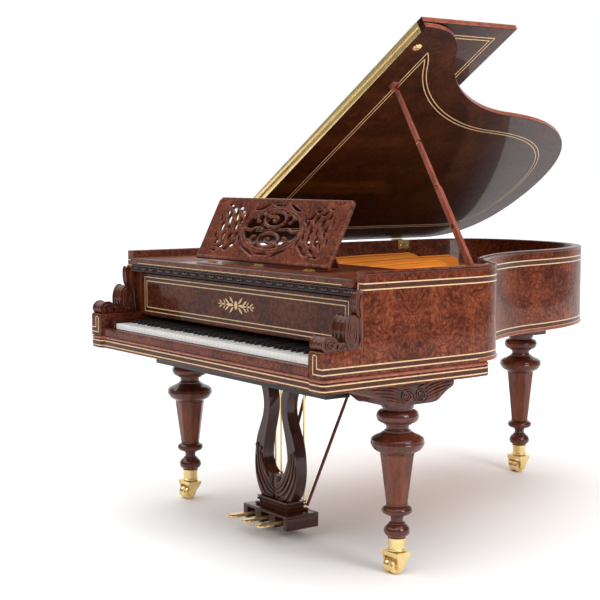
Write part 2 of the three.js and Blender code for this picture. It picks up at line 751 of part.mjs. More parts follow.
// ---- lyre ----
function addLyre() {
  const outer = new THREE.Path();
  outer.moveTo(0, 127);
  outer.lineTo(84, 127);
  outer.bezierCurveTo(118, 160, 136, 215, 122, 300);
  outer.bezierCurveTo(112, 370, 69, 405, 69, 465);
  outer.bezierCurveTo(69, 515, 96, 540, 112, 598);
  const inner = new THREE.Path();
  inner.moveTo(72, 598);
  inner.bezierCurveTo(62, 560, 39, 530, 39, 465);
  inner.bezierCurveTo(39, 410, 80, 340, 77, 270);
  inner.bezierCurveTo(75, 235, 40, 206, 0, 206);
  const right = [...outer.getPoints(6), ...inner.getPoints(6)].map(({ x, y }) => [x, y]);
  const left = mirrorX(right).slice(1, -1);
  const front = LYRE_Y - LYRE_HALF_DEPTH;
  const rear = LYRE_Y + LYRE_HALF_DEPTH;
  const pillars = extrudeY([...right, ...left], front, rear);
  const head = block(-150, 150, front - 8, rear + 14, 596, 640);
  const collar = block(-140, 140, front, rear + 6, 638, 650 - GAP);
  const shaft = block(-8, 8, MIDDLE_ROD_Y - 8, MIDDLE_ROD_Y + 8, 120, 220);
  addMesh(piano, "lyre_pillars", cut(join([pillars, head, collar]), [shaft]), darkWood);

  const boxTop = 91;
  const plinthTop = 127 - GAP;
  const box = join([
    block(-138, 138, 305, 445, 38, boxTop),
    block(-96, 96, 333, 428, boxTop - 1, boxTop + 10),
    block(-86, 86, 342, 422, boxTop + 9, boxTop + 20),
    block(-92, 92, 336, 424, boxTop + 19, plinthTop),
  ]);
  const pedals = [
    { name: "soft", x: -PEDAL_PITCH, rodY: ROD_Y },
    { name: "middle", x: 0, rodY: MIDDLE_ROD_Y },
    { name: "sustain", x: PEDAL_PITCH, rodY: ROD_Y },
  ];
  const slots = pedals.map(({ x }) => block(x - 24, x + 24, 300, 428, 34, PEDAL_Z + 18));
  const shafts = pedals.map(({ x, rodY }) => block(x - 8, x + 8, rodY - 8, rodY + 8, 36, 160));
  addMesh(piano, "pedal_box", cut(box, [...slots, ...shafts]), darkWood);

  const sole = new THREE.Path();
  sole.moveTo(7, ROD_Y + 6);
  sole.lineTo(7, PEDAL_TIP_Y + 100);
  sole.bezierCurveTo(7, PEDAL_TIP_Y + 72, 18, PEDAL_TIP_Y + 64, 18, PEDAL_TIP_Y + 38);
  sole.bezierCurveTo(18, PEDAL_TIP_Y + 10, 10, PEDAL_TIP_Y, 0, PEDAL_TIP_Y);
  const edge = sole.getPoints(5).map(({ x, y }) => [x, y]);
  const plan = [...edge, ...mirrorX(edge).slice(1)];
  for (const { name, x, rodY } of pedals) {
    const outline = plan.map(([px, py]) => [px + x, py]);
    addMesh(piano, `pedal_${name}`, extrudeZ(outline, PEDAL_Z - 4, PEDAL_Z + 4), brass);
    addMesh(piano, `pedal_rod_${name}`, rod([x, rodY, PEDAL_Z + 8], [x, rodY, 590], 4, 10), brass);
  }
  for (const [side, name] of [[1, "treble"], [-1, "bass"]]) {
    const foot = [side * 84, 434, 104];
    const head = [side * 140, 645, 643];
    addMesh(piano, `lyre_brace_${name}`, rod(foot, head, 6, 10), darkWood);
  }
}

addCase();
addArms();
addInside();
addKeyboard();
addDampers();
addFront();
addDesk();
addLid();
addProp();
addLegs();
addLyre();

piano.updateMatrixWorld(true);
const bounds = new THREE.Box3().setFromObject(piano, true);
piano.position.set(-(bounds.min.x + bounds.max.x) / 2, -(bounds.min.y + bounds.max.y) / 2, -bounds.min.z);

export default piano;
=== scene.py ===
"""Looks of the grand piano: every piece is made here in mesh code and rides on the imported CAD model."""

import json
import math

import bmesh
import bpy
import numpy as np
from mathutils import Matrix, Vector


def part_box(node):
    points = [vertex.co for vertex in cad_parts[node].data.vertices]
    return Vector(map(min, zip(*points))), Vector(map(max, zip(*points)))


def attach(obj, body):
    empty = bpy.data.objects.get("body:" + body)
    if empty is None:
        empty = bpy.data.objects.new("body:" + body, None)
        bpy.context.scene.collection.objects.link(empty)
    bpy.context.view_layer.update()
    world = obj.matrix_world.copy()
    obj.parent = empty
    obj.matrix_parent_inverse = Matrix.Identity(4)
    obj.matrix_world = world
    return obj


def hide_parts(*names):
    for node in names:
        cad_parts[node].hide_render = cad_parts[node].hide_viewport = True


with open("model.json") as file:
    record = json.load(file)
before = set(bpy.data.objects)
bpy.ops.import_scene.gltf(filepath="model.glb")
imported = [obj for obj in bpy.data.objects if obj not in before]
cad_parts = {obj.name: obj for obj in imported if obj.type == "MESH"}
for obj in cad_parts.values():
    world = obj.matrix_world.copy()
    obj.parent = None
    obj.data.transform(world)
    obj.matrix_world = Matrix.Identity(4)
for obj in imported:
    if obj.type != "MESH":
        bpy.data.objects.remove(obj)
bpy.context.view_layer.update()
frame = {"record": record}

# ---- dimensions in millimetres: X from the middle of the keyboard, Y from the front of the base ----
CASE_HALF = 735
RIM_FRONT = 165
RIM_BOTTOM = 684
RIM_TOP = 1004
RIM_WALL = 38
TREBLE_STRAIGHT = 610
ARM_INNER = 666
ARM_FRONT = 4
LOW_LINE, LOW_LINE_INNER = 687, 706  # inlaid lines' ends on the arm's front, from the middle
TOP_LINE, TOP_LINE_INNER = 706, 718  # the same on the front of the rim
KEY_PITCH = 23.56
WHITE_KEYS, ALL_KEYS = 52, 88
KEYS_HALF = WHITE_KEYS / 2 * KEY_PITCH
ACTION_PITCH = 13.7
DAMPERS = 66
LID_BOTTOM = 1008
LID_TOP = 1029
LID_EDGE = CASE_HALF + 5
LID_NOSE = 3.2
BEAD_PROUD = 1.8
SPLIT_Y = 605
PROP_LENGTH = 745
PROP_LEAN = math.radians(122.5)
OCTAGON_TOP = 397
STRINGS, FIRST_STRING, STRING_PITCH = 84, -640, 15.2
BASS_BREAK = -330  # wound strings stand to the bass side of this
STRING_HEIGHT = 897
PLATE_LOW, PLATE_TOP = 879, 893
SHELF_HALF = 694.8
AXLE_HEIGHT = 25
PROP_BRACKET = (650, 705)
INLAY_SUNK = 0.4

base_low, base_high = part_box("base_moulding")
ORIGIN = np.array([(base_low.x + base_high.x) / 2, base_low.y, 0.0])
joints = {joint["name"]: joint for joint in frame["record"]["behaviour"]["joints"]}


def joint_place(name):
    """A joint's point in the model's own millimetres."""
    return (np.array(joints[name]["pos_m"]) - ORIGIN) * 1000


def middle(node):
    """The middle of a CAD node's box in the model's own millimetres."""
    low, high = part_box(node)
    return (np.array((low + high) / 2) - ORIGIN) * 1000


LID_OPEN = math.radians(joints["lid_hinge"]["range_deg"][1])
LID_AXIS = joint_place("lid_hinge")
DESK_RAISED = math.radians(joints["desk_hinge"]["range_deg"][1])


# ---- shapes: a shape is (points, faces) in millimetres ----
def merge(shapes):
    points, faces, start = [], [], 0
    for shape_points, shape_faces in shapes:
        points.append(np.asarray(shape_points, float))
        faces += [tuple(i + start for i in face) for face in shape_faces]
        start += len(shape_points)
    return np.concatenate(points), faces


def box(x0, x1, y0, y1, z0, z1):
    points = [(x, y, z) for x in (x0, x1) for y in (y0, y1) for z in (z0, z1)]
    faces = [(0, 1, 3, 2), (4, 6, 7, 5), (0, 4, 5, 1), (2, 3, 7, 6), (0, 2, 6, 4), (1, 5, 7, 3)]
    return np.array(points, float), faces


def end_caps(rows, sides):
    """The first and the last row of a grid of points, each as one face."""
    return [tuple(range(sides)), tuple(range((rows - 1) * sides, rows * sides))]


def grid_faces(rows, sides):
    """Faces between closed rows of points."""
    return [
        (i * sides + k, i * sides + (k + 1) % sides, (i + 1) * sides + (k + 1) % sides, (i + 1) * sides + k)
        for i in range(rows - 1)
        for k in range(sides)
    ]


def prism(outline, low, high, axis="z"):
    """A flat outline carried along an axis: (x, y) along z, (y, z) along x, or (x, z) along y."""
    a, b, c = {"x": (1, 2, 0), "y": (0, 2, 1), "z": (0, 1, 2)}[axis]
    outline = np.asarray(outline, float)
    n = len(outline)
    points = np.zeros((2 * n, 3))
    for k, level in enumerate((low, high)):
        points[k * n : (k + 1) * n, a] = outline[:, 0]
        points[k * n : (k + 1) * n, b] = outline[:, 1]
        points[k * n : (k + 1) * n, c] = level
    return points, end_caps(2, n) + grid_faces(2, n)


def unit(vectors):
    return vectors / np.maximum(np.linalg.norm(vectors, axis=-1, keepdims=True), 1e-9)


def mitres(path, closed=False):
    """Sideways steps of one unit, to the right of the path, stretched at its corners."""
    path = np.asarray(path, float)
    before, after = np.roll(path, 1, 0), np.roll(path, -1, 0)
    if not closed:
        before[0] = 2 * path[0] - path[1]
        after[-1] = 2 * path[-1] - path[-2]
    into, out = unit(path - before), unit(after - path)
    side_in = np.stack([into[:, 1], -into[:, 0]], 1)
    side_out = np.stack([out[:, 1], -out[:, 0]], 1)
    side = unit(side_in + side_out)
    return side / np.maximum((side * side_in).sum(1, keepdims=True), 0.3)


def shifted(path, distance, closed=False):
    return np.asarray(path, float) + distance * mitres(path, closed)


def sweep(path, profile, closed=False):
    """A closed profile of (sideways, up) carried along a plan path."""
    path = np.asarray(path, float)
    side = mitres(path, closed)
    n, m = len(path), len(profile)
    points = np.zeros((n * m, 3))
    for j, (out, up) in enumerate(profile):
        points[j::m, :2] = path + out * side
        points[j::m, 2] = up
    faces = []
    for i in range(n if closed else n - 1):
        k = (i + 1) % n
        faces += [(i * m + j, k * m + j, k * m + (j + 1) % m, i * m + (j + 1) % m) for j in range(m)]
    return points, faces if closed else faces + end_caps(n, m)


def lathe(profile, sides=48, centre=(0, 0), turn=0.0):
    """A profile of (radius, height) turned about Z. Its two ends lie on the axis."""
    points, rings = [], []
    for radius, height in profile:
        count = 1 if radius < 1e-6 else sides
        rings.append((len(points), count))
        for k in range(count):
            angle = 2 * math.pi * k / sides + turn
            points.append(
                (centre[0] + radius * math.cos(angle), centre[1] + radius * math.sin(angle), height),
            )
    faces = []
    for (a, na), (b, nb) in zip(rings, rings[1:]):
        for k in range(sides):
            j = (k + 1) % sides
            if na == 1 and nb > 1:
                faces.append((a, b + k, b + j))
            elif nb == 1 and na > 1:
                faces.append((a + k, a + j, b))
            elif na > 1:
                faces.append((a + k, a + j, b + j, b + k))
    return np.array(points, float), faces


def tube(path, radius, sides=10, squash=1.0):
    """A rod along a path in space. The radius may change along it."""
    path = np.asarray(path, float)
    n = len(path)
    radii = np.broadcast_to(np.asarray(radius, float), (n,))
    along = unit(np.gradient(path, axis=0))
    guide = np.array([0.0, 0.0, 1.0]) if abs(along[0][2]) < 0.8 else np.array([0.0, 1.0, 0.0])
    points = []
    for i in range(n):
        first = unit(np.cross(along[i], guide))
        second = np.cross(along[i], first)
        guide = unit(np.cross(first, along[i])) if n > 2 else guide
        for k in range(sides):
            angle = 2 * math.pi * (k + 0.5) / sides
            step = math.cos(angle) * first + math.sin(angle) * second * squash
            points.append(path[i] + radii[i] * step)
    return np.array(points), grid_faces(n, sides) + end_caps(n, sides)


def moved(shape, step=(0, 0, 0), turn=None, about=(0, 0, 0)):
    points, faces = shape
    points = np.asarray(points, float)
    if turn is not None:
        matrix = np.array(turn.to_3x3())
        points = (points - np.asarray(about)) @ matrix.T + np.asarray(about)
    return points + np.asarray(step, float), faces


def quarter_turned(shape, axis, turns=1):
    return moved(shape, turn=Matrix.Rotation(turns * math.pi / 2, 4, axis))


def both_sides(shape):
    """A shape and its mirror image across the middle of the keyboard."""
    points, faces = shape
    return merge([shape, (np.asarray(points) * [-1, 1, 1], [tuple(reversed(face)) for face in faces])])


def smooth_curve(points, steps=6):
    """A smooth curve through the points, in any number of dimensions."""
    p = np.asarray(points, float)
    p = np.vstack([2 * p[0] - p[1], p, 2 * p[-1] - p[-2]])
    out = []
    for i in range(1, len(p) - 2):
        for k in range(steps):
            t = k / steps
            linear = 2 * p[i] + (p[i + 1] - p[i - 1]) * t
            square = (2 * p[i - 1] - 5 * p[i] + 4 * p[i + 1] - p[i + 2]) * t**2
            cubic = (3 * p[i] - p[i - 1] - 3 * p[i + 1] + p[i + 2]) * t**3
            out.append(0.5 * (linear + square + cubic))
    return np.array(out + [p[-2]])


def bezier(a, b, c, d, steps):
    t = np.linspace(0, 1, steps + 1)[1:, None]
    a, b, c, d = (np.array(q, float) for q in (a, b, c, d))
    return (1 - t) ** 3 * a + 3 * (1 - t) ** 2 * t * b + 3 * (1 - t) * t**2 * c + t**3 * d


def case_path(front, steps=26):
    """The case's plan from the treble front round the bentside and tail to the bass front."""
    half, straight = CASE_HALF, TREBLE_STRAIGHT
    return np.concatenate(
        [
            [[half, front], [half, straight]],
            bezier((half, straight), (half, 745), (690, 795), (583, 861), steps),
            bezier((583, 861), (425, 950), (265, 1190), (242, 1432), steps),
            bezier((242, 1432), (215, 1640), (150, 2035), (-330, 2040), steps),
            bezier((-330, 2040), (-560, 2040), (-half, 1960), (-half, 1700), steps),
            [[-half, front]],
        ]
    )


def line_distance(line, x, y):
    """Distance from points to a run of straight stretches."""
    best = np.full(np.shape(x), 1e9)
    for (ax, ay), (bx, by) in zip(line[:-1], line[1:]):
        dx, dy = bx - ax, by - ay
        t = np.clip(((x - ax) * dx + (y - ay) * dy) / (dx * dx + dy * dy + 1e-9), 0, 1)
        best = np.minimum(best, np.hypot(x - ax - t * dx, y - ay - t * dy))
    return best


def edge_distance(outline, x, y):
    """Distance from points to a closed outline, positive inside it."""
    inside = np.zeros(np.shape(x), bool)
    for (ax, ay), (bx, by) in zip(outline, np.roll(outline, -1, 0)):
        rise = by - ay if abs(by - ay) > 1e-9 else 1e-9
        inside ^= ((ay > y) != (by > y)) & (x < ax + (y - ay) * (bx - ax) / rise)
    best = line_distance(np.vstack([outline, outline[:1]]), x, y)
    return np.where(inside, best, -best)


def carved(field, x0, x1, y0, y1, step, back, front):
    """A carved board in the XY plane: solid where field(x, y) is above zero, between two height functions."""
    xs = np.arange(x0, x1 + step, step)
    ys = np.arange(y0, y1 + step, step)
    gx, gy = np.meshgrid(xs, ys, indexing="ij")
    f = field(gx, gy)
    f = np.where(abs(f) < 1e-6, 1e-6, f)
    places, index, cells = [], {}, []

    def numbered(key, place):
        if key not in index:
            index[key] = len(places)
            places.append(place)
        return index[key]

    def corner(i, j):
        return numbered((i, j), (xs[i], ys[j]))

    def crossing(i, j, k, l):
        """Where the edge of the wood cuts a side of a cell."""
        t = f[i, j] / (f[i, j] - f[k, l])
        place = (xs[i] + t * (xs[k] - xs[i]), ys[j] + t * (ys[l] - ys[j]))
        return numbered((min((i, j), (k, l)), max((i, j), (k, l))), place)

    for i in range(len(xs) - 1):
        for j in range(len(ys) - 1):
            square = ((i, j), (i + 1, j), (i + 1, j + 1), (i, j + 1))
            inside = [f[c] > 0 for c in square]
            if not any(inside):
                continue
            loop = []
            for k in range(4):
                here, there = square[k], square[(k + 1) % 4]
                if inside[k]:
                    loop.append(corner(*here))
                if inside[k] != inside[(k + 1) % 4]:
                    loop.append(crossing(*here, *there))
            cells.append(tuple(loop))
    flat = np.array(places)
    n = len(flat)
    low = np.column_stack([flat, np.broadcast_to(back(flat[:, 0], flat[:, 1]), n)])
    high = np.column_stack([flat, np.broadcast_to(front(flat[:, 0], flat[:, 1]), n)])
    faces = [tuple(i + n for i in cell) for cell in cells] + [tuple(reversed(cell)) for cell in cells]
    edges = dict.fromkeys(edge for cell in cells for edge in zip(cell, cell[1:] + cell[:1]))
    faces += [(a, b, b + n, a + n) for a, b in edges if (b, a) not in edges]
    return np.concatenate([low, high]), faces


def opened(shape):
    """Turns a piece of the closed lid to the open lid."""
    return moved(shape, turn=Matrix.Rotation(-LID_OPEN, 4, "Y"), about=LID_AXIS)


def folded(shape):
    """Folds a piece of the laid-out flap back on the lid, then opens the lid."""
    pin = (0, SPLIT_Y, LID_TOP + 1.5)
    return opened(moved(shape, turn=Matrix.Rotation(-math.pi, 4, "X"), about=pin))


# ---- materials ----
WOOD_SPECULAR = 0.1
LEAF_SIZE = 0.36  # metres across one book-matched leaf of veneer


def add(tree, kind, inputs=None, **settings):
    node = tree.nodes.new("ShaderNode" + kind)
    for name, value in settings.items():
        setattr(node, name, value)
    for name, value in (inputs or {}).items():
        socket = node.inputs[name]
        if isinstance(value, bpy.types.NodeSocket):
            tree.links.new(value, socket)
        else:
            socket.default_value = value
    return node


def math_node(tree, operation, a, b=0.0):
    return add(tree, "Math", {0: a, 1: b}, operation=operation).outputs[0]


def ramp(tree, factor, stops):
    node = add(tree, "ValToRGB", {"Fac": factor})
    elements = node.color_ramp.elements
    while len(elements) < len(stops):
        elements.new(0.5)
    for element, (position, colour) in zip(elements, stops):
        element.position = position
        element.color = (*colour, 1)
    return node.outputs["Color"]


def noise(tree, where, scale, detail, roughness, distortion=0.0):
    inputs = {
        "Vector": where, "Scale": scale, "Detail": detail, "Roughness": roughness, "Distortion": distortion,
    }
    return add(tree, "TexNoise", inputs).outputs


def weighted(tree, *parts):
    """The sum of factors, each times its weight."""
    total = None
    for factor, weight in parts:
        term = math_node(tree, "MULTIPLY", factor, weight)
        total = math_node(tree, "ADD", total, term) if total else term
    return total


def grey(value):
    return (value, value, value)


def start(name):
    material = bpy.data.materials.new(name)
    material.use_nodes = True
    tree = material.node_tree
    tree.nodes.clear()
    where = add(tree, "TexCoord").outputs["Object"]
    return material, tree, where


def polish(colour, rough, coat, gloss):
    """Shader inputs of polished wood: little gloss of its own, under a clear coat."""
    inputs = {"Base Color": colour, "Roughness": rough, "Specular IOR Level": WOOD_SPECULAR}
    return {**inputs, "Coat Weight": coat, "Coat Roughness": gloss}


def finish_surface(tree, inputs, bump, strength, distance):
    lumps = add(tree, "Bump", {"Height": bump, "Strength": strength, "Distance": distance})
    surface = add(tree, "BsdfPrincipled", {**inputs, "Normal": lumps.outputs["Normal"]})
    add(tree, "OutputMaterial", {"Surface": surface.outputs[0]})


def burl_wood(name, tones, spread=1.0, gloss=0.04, coat=0.35):
    """Polished burl veneer: mottled, with eyes and dark flames, mirrored in book-matched leaves."""
    material, tree, where = start(name)
    split = add(tree, "SeparateXYZ", {0: where})
    across, along = (
        math_node(tree, "PINGPONG", math_node(tree, "ADD", split.outputs[i], seam), LEAF_SIZE)
        for i, seam in enumerate((0.011, 0.66))
    )
    leaf = add(tree, "CombineXYZ", {0: across, 1: along, 2: split.outputs[2]}).outputs[0]
    warp = noise(tree, leaf, 6.5, 3.0, 0.55)["Color"]
    drift = add(tree, "VectorMath", {0: warp, 1: grey(0.14)}, operation="MULTIPLY")
    bent = add(tree, "VectorMath", {0: leaf, 1: drift.outputs[0]}, operation="ADD").outputs[0]
    flames = noise(tree, bent, 8.0, 5.0, 0.6)["Fac"]
    mottle = noise(tree, bent, 76.0 * spread, 9.0, 0.72, 1.2)["Fac"]
    eyes = add(
        tree, "TexVoronoi", {"Vector": bent, "Scale": 80.0 * spread}, feature="SMOOTH_F1",
    ).outputs["Distance"]
    grain = noise(tree, bent, 300.0, 4.0, 0.6)["Fac"]
    value = weighted(tree, (mottle, 0.72), (flames, 0.40), (eyes, -0.20), (grain, 0.14))
    colour = ramp(tree, value, list(zip((0.37, 0.48, 0.56, 0.65, 0.79), tones)))
    finish_surface(tree, {**polish(colour, 0.38, coat, gloss), "Coat IOR": 1.4}, value, 0.04, 0.0003)
    return material


def streaked_wood(name, dark, light, gloss=0.05, stretch=(1.0, 1.0, 0.14), scale=38.0, coat=0.6):
    """Polished straight-grained wood."""
    material, tree, where = start(name)
    run = add(tree, "VectorMath", {0: where, 1: stretch}, operation="MULTIPLY").outputs[0]
    broad = noise(tree, run, scale, 6.0, 0.6, 0.6)["Fac"]
    fine = noise(tree, run, scale * 7, 4.0, 0.7)["Fac"]
    value = weighted(tree, (broad, 0.7), (fine, 0.3))
    colour = ramp(tree, value, [(0.32, dark), (0.68, light)])
    finish_surface(tree, polish(colour, 0.36, coat, gloss), value, 0.06, 0.0004)
    return material


def metal(name, colour, rough, tarnish, metallic=1.0, scale=30.0):
    """Metal or metal paint with faint cloudy wear and fine brushing."""
    material, tree, where = start(name)
    cloud = noise(tree, where, scale, 6.0, 0.6)["Fac"]
    fine = noise(tree, where, scale * 22, 3.0, 0.6)["Fac"]
    tone = ramp(tree, cloud, [(0.3, tarnish), (0.62, colour)])
    shine = math_node(tree, "ADD", math_node(tree, "MULTIPLY", cloud, 0.16), rough - 0.06)
    inputs = {"Base Color": tone, "Metallic": metallic, "Roughness": shine}
    finish_surface(tree, inputs, fine, 0.05, 0.0002)
    return material


def plain(name, colour, shade, rough, scale, coat=0.0, bump=0.05):
    """An even finish with slight tone changes."""
    material, tree, where = start(name)
    cloud = noise(tree, where, scale, 5.0, 0.6)["Fac"]
    tone = ramp(tree, cloud, [(0.35, shade), (0.6, colour)])
    inputs = {"Base Color": tone, "Roughness": rough, "Coat Weight": coat, "Coat Roughness": 0.08}
    finish_surface(tree, inputs, cloud, bump, 0.0003)
    return material


BURL_TONES = [
    (0.026, 0.006, 0.003),
    (0.072, 0.015, 0.007),
    (0.142, 0.032, 0.014),
    (0.225, 0.056, 0.024),
    (0.360, 0.115, 0.050),
]
# Darker copies of the burl tones, painted shade: 0.66 for the fallboard under the music shelf, 0.27 for the
# lid with its shaded underside.
FALLBOARD_PAINTED_SHADE_TONES, LID_PAINTED_SHADE_TONES = ([tuple(k * c for c in tone) for tone in BURL_TONES] for k in (0.66, 0.27))
BURL = burl_wood("burl", BURL_TONES)
# The fallboard's burl: the case burl darkened as painted shade from the music shelf above it.
BURL_FALLBOARD_PAINTED_SHADE = burl_wood("burl_fallboard_painted_shade", FALLBOARD_PAINTED_SHADE_TONES, coat=0.25)
# The lid's burl: the case burl darkened much further as painted shade for the lid's underside, which faces
# down into shade; the whole lid and its flap take it.
BURL_LID_PAINTED_SHADE = burl_wood("burl_lid_painted_shade", LID_PAINTED_SHADE_TONES, spread=0.8, coat=0.4)
DARK = streaked_wood("dark_wood", (0.016, 0.003, 0.002), (0.105, 0.020, 0.008), coat=0.7)
CARVED = streaked_wood("carved_wood", (0.022, 0.005, 0.003), (0.130, 0.028, 0.010), gloss=0.04, coat=0.7)
RED_BROWN = streaked_wood("red_brown_wood", (0.050, 0.010, 0.005), (0.240, 0.058, 0.022), coat=0.6)
LEG_DARK = streaked_wood("leg_wood", (0.026, 0.006, 0.004), (0.160, 0.034, 0.015), coat=0.8)
BAND = streaked_wood("band_wood", (0.030, 0.007, 0.003), (0.105, 0.022, 0.008), coat=0.3)
RED = streaked_wood("red_wood", (0.200, 0.050, 0.030), (0.420, 0.130, 0.080))
BLACK = plain("black_wood", (0.008, 0.006, 0.006), (0.004, 0.003, 0.003), 0.5, 30, coat=0.08)
MAPLE = streaked_wood("maple", (0.62, 0.40, 0.20), (0.82, 0.60, 0.36), stretch=(1, 1, 1), scale=60, coat=0.3)
SPRUCE = streaked_wood(
    "spruce", (0.62, 0.25, 0.06), (0.80, 0.38, 0.11), stretch=(8, 0.6, 1), scale=14, coat=0.3,
)
BRASS = metal("brass", (0.94, 0.72, 0.34), 0.20, (0.88, 0.64, 0.27), metallic=0.78)
COPPERED = metal("red_brass", (0.62, 0.24, 0.12), 0.25, (0.40, 0.13, 0.06))
GILT = metal("gilt_iron", (1.0, 0.33, 0.035), 0.36, (0.92, 0.27, 0.028), metallic=0.0, scale=12)
IVORY = plain("ivory", (0.94, 0.93, 0.91), (0.90, 0.89, 0.86), 0.16, 18, coat=0.6)
EBONY = plain("ebony", (0.010, 0.010, 0.012), (0.006, 0.006, 0.007), 0.32, 60, coat=0.25)
FELT = plain("felt", (0.03, 0.028, 0.03), (0.015, 0.014, 0.015), 0.95, 400, bump=0.6)
STEEL = metal("steel", (0.62, 0.62, 0.60), 0.22, (0.42, 0.42, 0.40))
COPPER = metal("copper", (0.62, 0.30, 0.16), 0.3, (0.42, 0.18, 0.09))
LYRE_WOOD = streaked_wood("lyre_wood", (0.018, 0.005, 0.003), (0.078, 0.019, 0.010))
RED_DARK = streaked_wood("brace_wood", (0.070, 0.014, 0.008), (0.20, 0.04, 0.02))
SIDES = ((1, "treble"), (-1, "bass"))


def placed(name, data):
    """An object for the data, linked into the scene."""
    thing = bpy.data.objects.new(name, data)
    bpy.context.scene.collection.objects.link(thing)
    return thing


def piece(name, shape, material, replaces=(), body="case", bevel=0.0, crease=34):
    """Makes one mesh of the piano, rides it on a CAD body and hides the CAD parts it replaces."""
    points, faces = shape
    mesh = bpy.data.meshes.new(name)
    mesh.from_pydata([tuple(p) for p in np.asarray(points, float)], [], faces)
    work = bmesh.new()
    work.from_mesh(mesh)
    if bevel:
        sharp = [e for e in work.edges if len(e.link_faces) == 2 and e.calc_face_angle(0) > 0.6]
        bmesh.ops.bevel(
            work, geom=sharp, offset=bevel, segments=2, profile=0.6, affect="EDGES", clamp_overlap=True,
        )
    bmesh.ops.recalc_face_normals(work, faces=work.faces)
    for vertex in work.verts:
        vertex.co = vertex.co * 0.001 + Vector(ORIGIN)
    work.to_mesh(mesh)
    work.free()
    mesh.shade_smooth()
    mesh.set_sharp_from_angle(angle=math.radians(crease))
    mesh.materials.append(material)
    thing = placed(name, mesh)
    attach(thing, body)
    if replaces:
        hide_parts(*replaces)


def strip(z, width=4.0, proud=0.7):
    """Profile of an inlaid line on an upright wall."""
    low, high = z - width / 2, z + width / 2
    return [(-INLAY_SUNK, low), (proud, low), (proud, high), (-INLAY_SUNK, high)]


def panel_lines(x0, x1, y0, y1, face, up, width=4.0, proud=0.7):
    """A rectangular inlaid line on a level face. up is 1 on a top face and -1 on an underside."""
    loop = [(x0, y0), (x1, y0), (x1, y1), (x0, y1)]
    low, high = sorted((face - up * INLAY_SUNK, face + up * proud))
    profile = [(-width / 2, low), (width / 2, low), (width / 2, high), (-width / 2, high)]
    return sweep(loop, profile, closed=True)


# ---- case ----
def make_case():
    shoulder, ease = RIM_TOP - 5, RIM_TOP - 1.4
    wall = [(0, RIM_BOTTOM), (0, shoulder), (-2, ease), (-5, RIM_TOP)]
    wall += [(-RIM_WALL - out, z) for out, z in wall[::-1]]
    path = case_path(RIM_FRONT)
    piece("case_rim_wall", sweep(path, wall), BURL, ["case_rim"])
    foot = [(-1, 684.4), (3, 684.4), (5, 687), (4.4, 692), (2, 696), (0, 697), (-1, 697)]
    edging = path[path[:, 1] > 640]
    piece("case_rim_foot", sweep(edging, foot), RED)
    cap = [(-1, 994), (1.6, 994.5), (2.2, 997), (1, 999.5), (-1, 1000)]
    piece("case_rim_cap", sweep(path, cap), DARK)

    base = shifted(base_path(), -BEAD_PROUD)
    profile = [
        (-34, 636), (-3, 636), (-1.2, 637), (-1.2, 639.5), (0, 640.5), (0, 669), (-2.5, 671), (-2.5, 673),
        (-0.5, 674.5), (0, 677), (-1, 679.5), (-4, 680.5), (-4, 683.6), (-34, 683.6),
    ]
    piece("base_moulding_band", sweep(base, profile), BURL, ["base_moulding"])
    bead = [(-3, 671.8), (0.2, 672.4), (1.4, 675), (1.8, 677.4), (0.6, 680.2), (-3, 681)]
    piece("base_moulding_bead", sweep(base, bead), RED)
    piece("base_inlay", merge([sweep(base, strip(z)) for z in (646, 664)]), MAPLE)
    piece("base_inlay_band", sweep(base, strip(655, 14, 0.25)), BAND)

    side = CASE_HALF
    low_path, top_path = (
        np.vstack([[(half, y), (side, y)], path[1:-1], [(-side, y), (-half, y)]])
        for half, y in ((LOW_LINE, ARM_FRONT), (TOP_LINE, RIM_FRONT))
    )
    low_inner, top_inner = low_path.copy(), top_path.copy()
    low_inner[0, 0], low_inner[-1, 0] = LOW_LINE_INNER, -LOW_LINE_INNER
    top_inner[0, 0], top_inner[-1, 0] = TOP_LINE_INNER, -TOP_LINE_INNER
    runs = ((low_path, 696), (top_path, 967), (low_inner, 714), (top_inner, 948))
    lines = [sweep(run, strip(z)) for run, z in runs]
    for x, front, low, high in (
        (LOW_LINE, ARM_FRONT, 694, 757), (LOW_LINE_INNER, ARM_FRONT, 712, 757),
        (TOP_LINE, RIM_FRONT, 930, 969), (TOP_LINE_INNER, RIM_FRONT, 930, 950),
    ):
        lines.append(both_sides(box(x - 2, x + 2, front - 0.7, front + 0.4, low, high)))
    lines.append(both_sides(box(685, 708, 3.3, 4.4, 753, 757)))
    piece("side_inlay", merge(lines), MAPLE)
    bands = [sweep(low_inner, strip(705, 14, 0.25)), sweep(top_inner, strip(957.5, 15, 0.25))]
    piece("side_inlay_band", merge(bands), BAND)

    bed = [(-701, 33), (701, 33), (701, 610), (688, 699), (-688, 699), (-701, 610)]
    piece("keybed_board", prism(bed, 650.3, 683.4), DARK, ["keybed"], bevel=1.0)
    under = box(-535.8, 535.8, 171, 270, 579, 649.4)
    piece("underframe", under, BLACK, ["underframe_board"], bevel=1.5)
    slip = [(14, 684.3), (36, 684.3), (38, 686), (38, 709), (35, 711.5), (18, 712), (14.6, 709.5), (14, 706)]
    piece("key_slip_board", prism(slip, -665.5, 665.5, "x"), BURL, ["key_slip"])
    for sign, name in SIDES:
        block = box(*sorted((sign * 617, sign * 665.4)), 40, 200, 684.3, 749.5)
        piece(f"key_block_{name}_wood", block, DARK, [f"key_block_{name}"], bevel=2.0)


def base_path():
    """Plan of the base moulding from the bass end round the front to the treble end."""
    right = [(659, 12), (671, 0), (730, 0), (742, 12), (742, 610), (741, 650), (738, 680), (735, 699.6)]
    left = [(-x, y) for x, y in reversed(right)]
    return np.array(left + right, float)


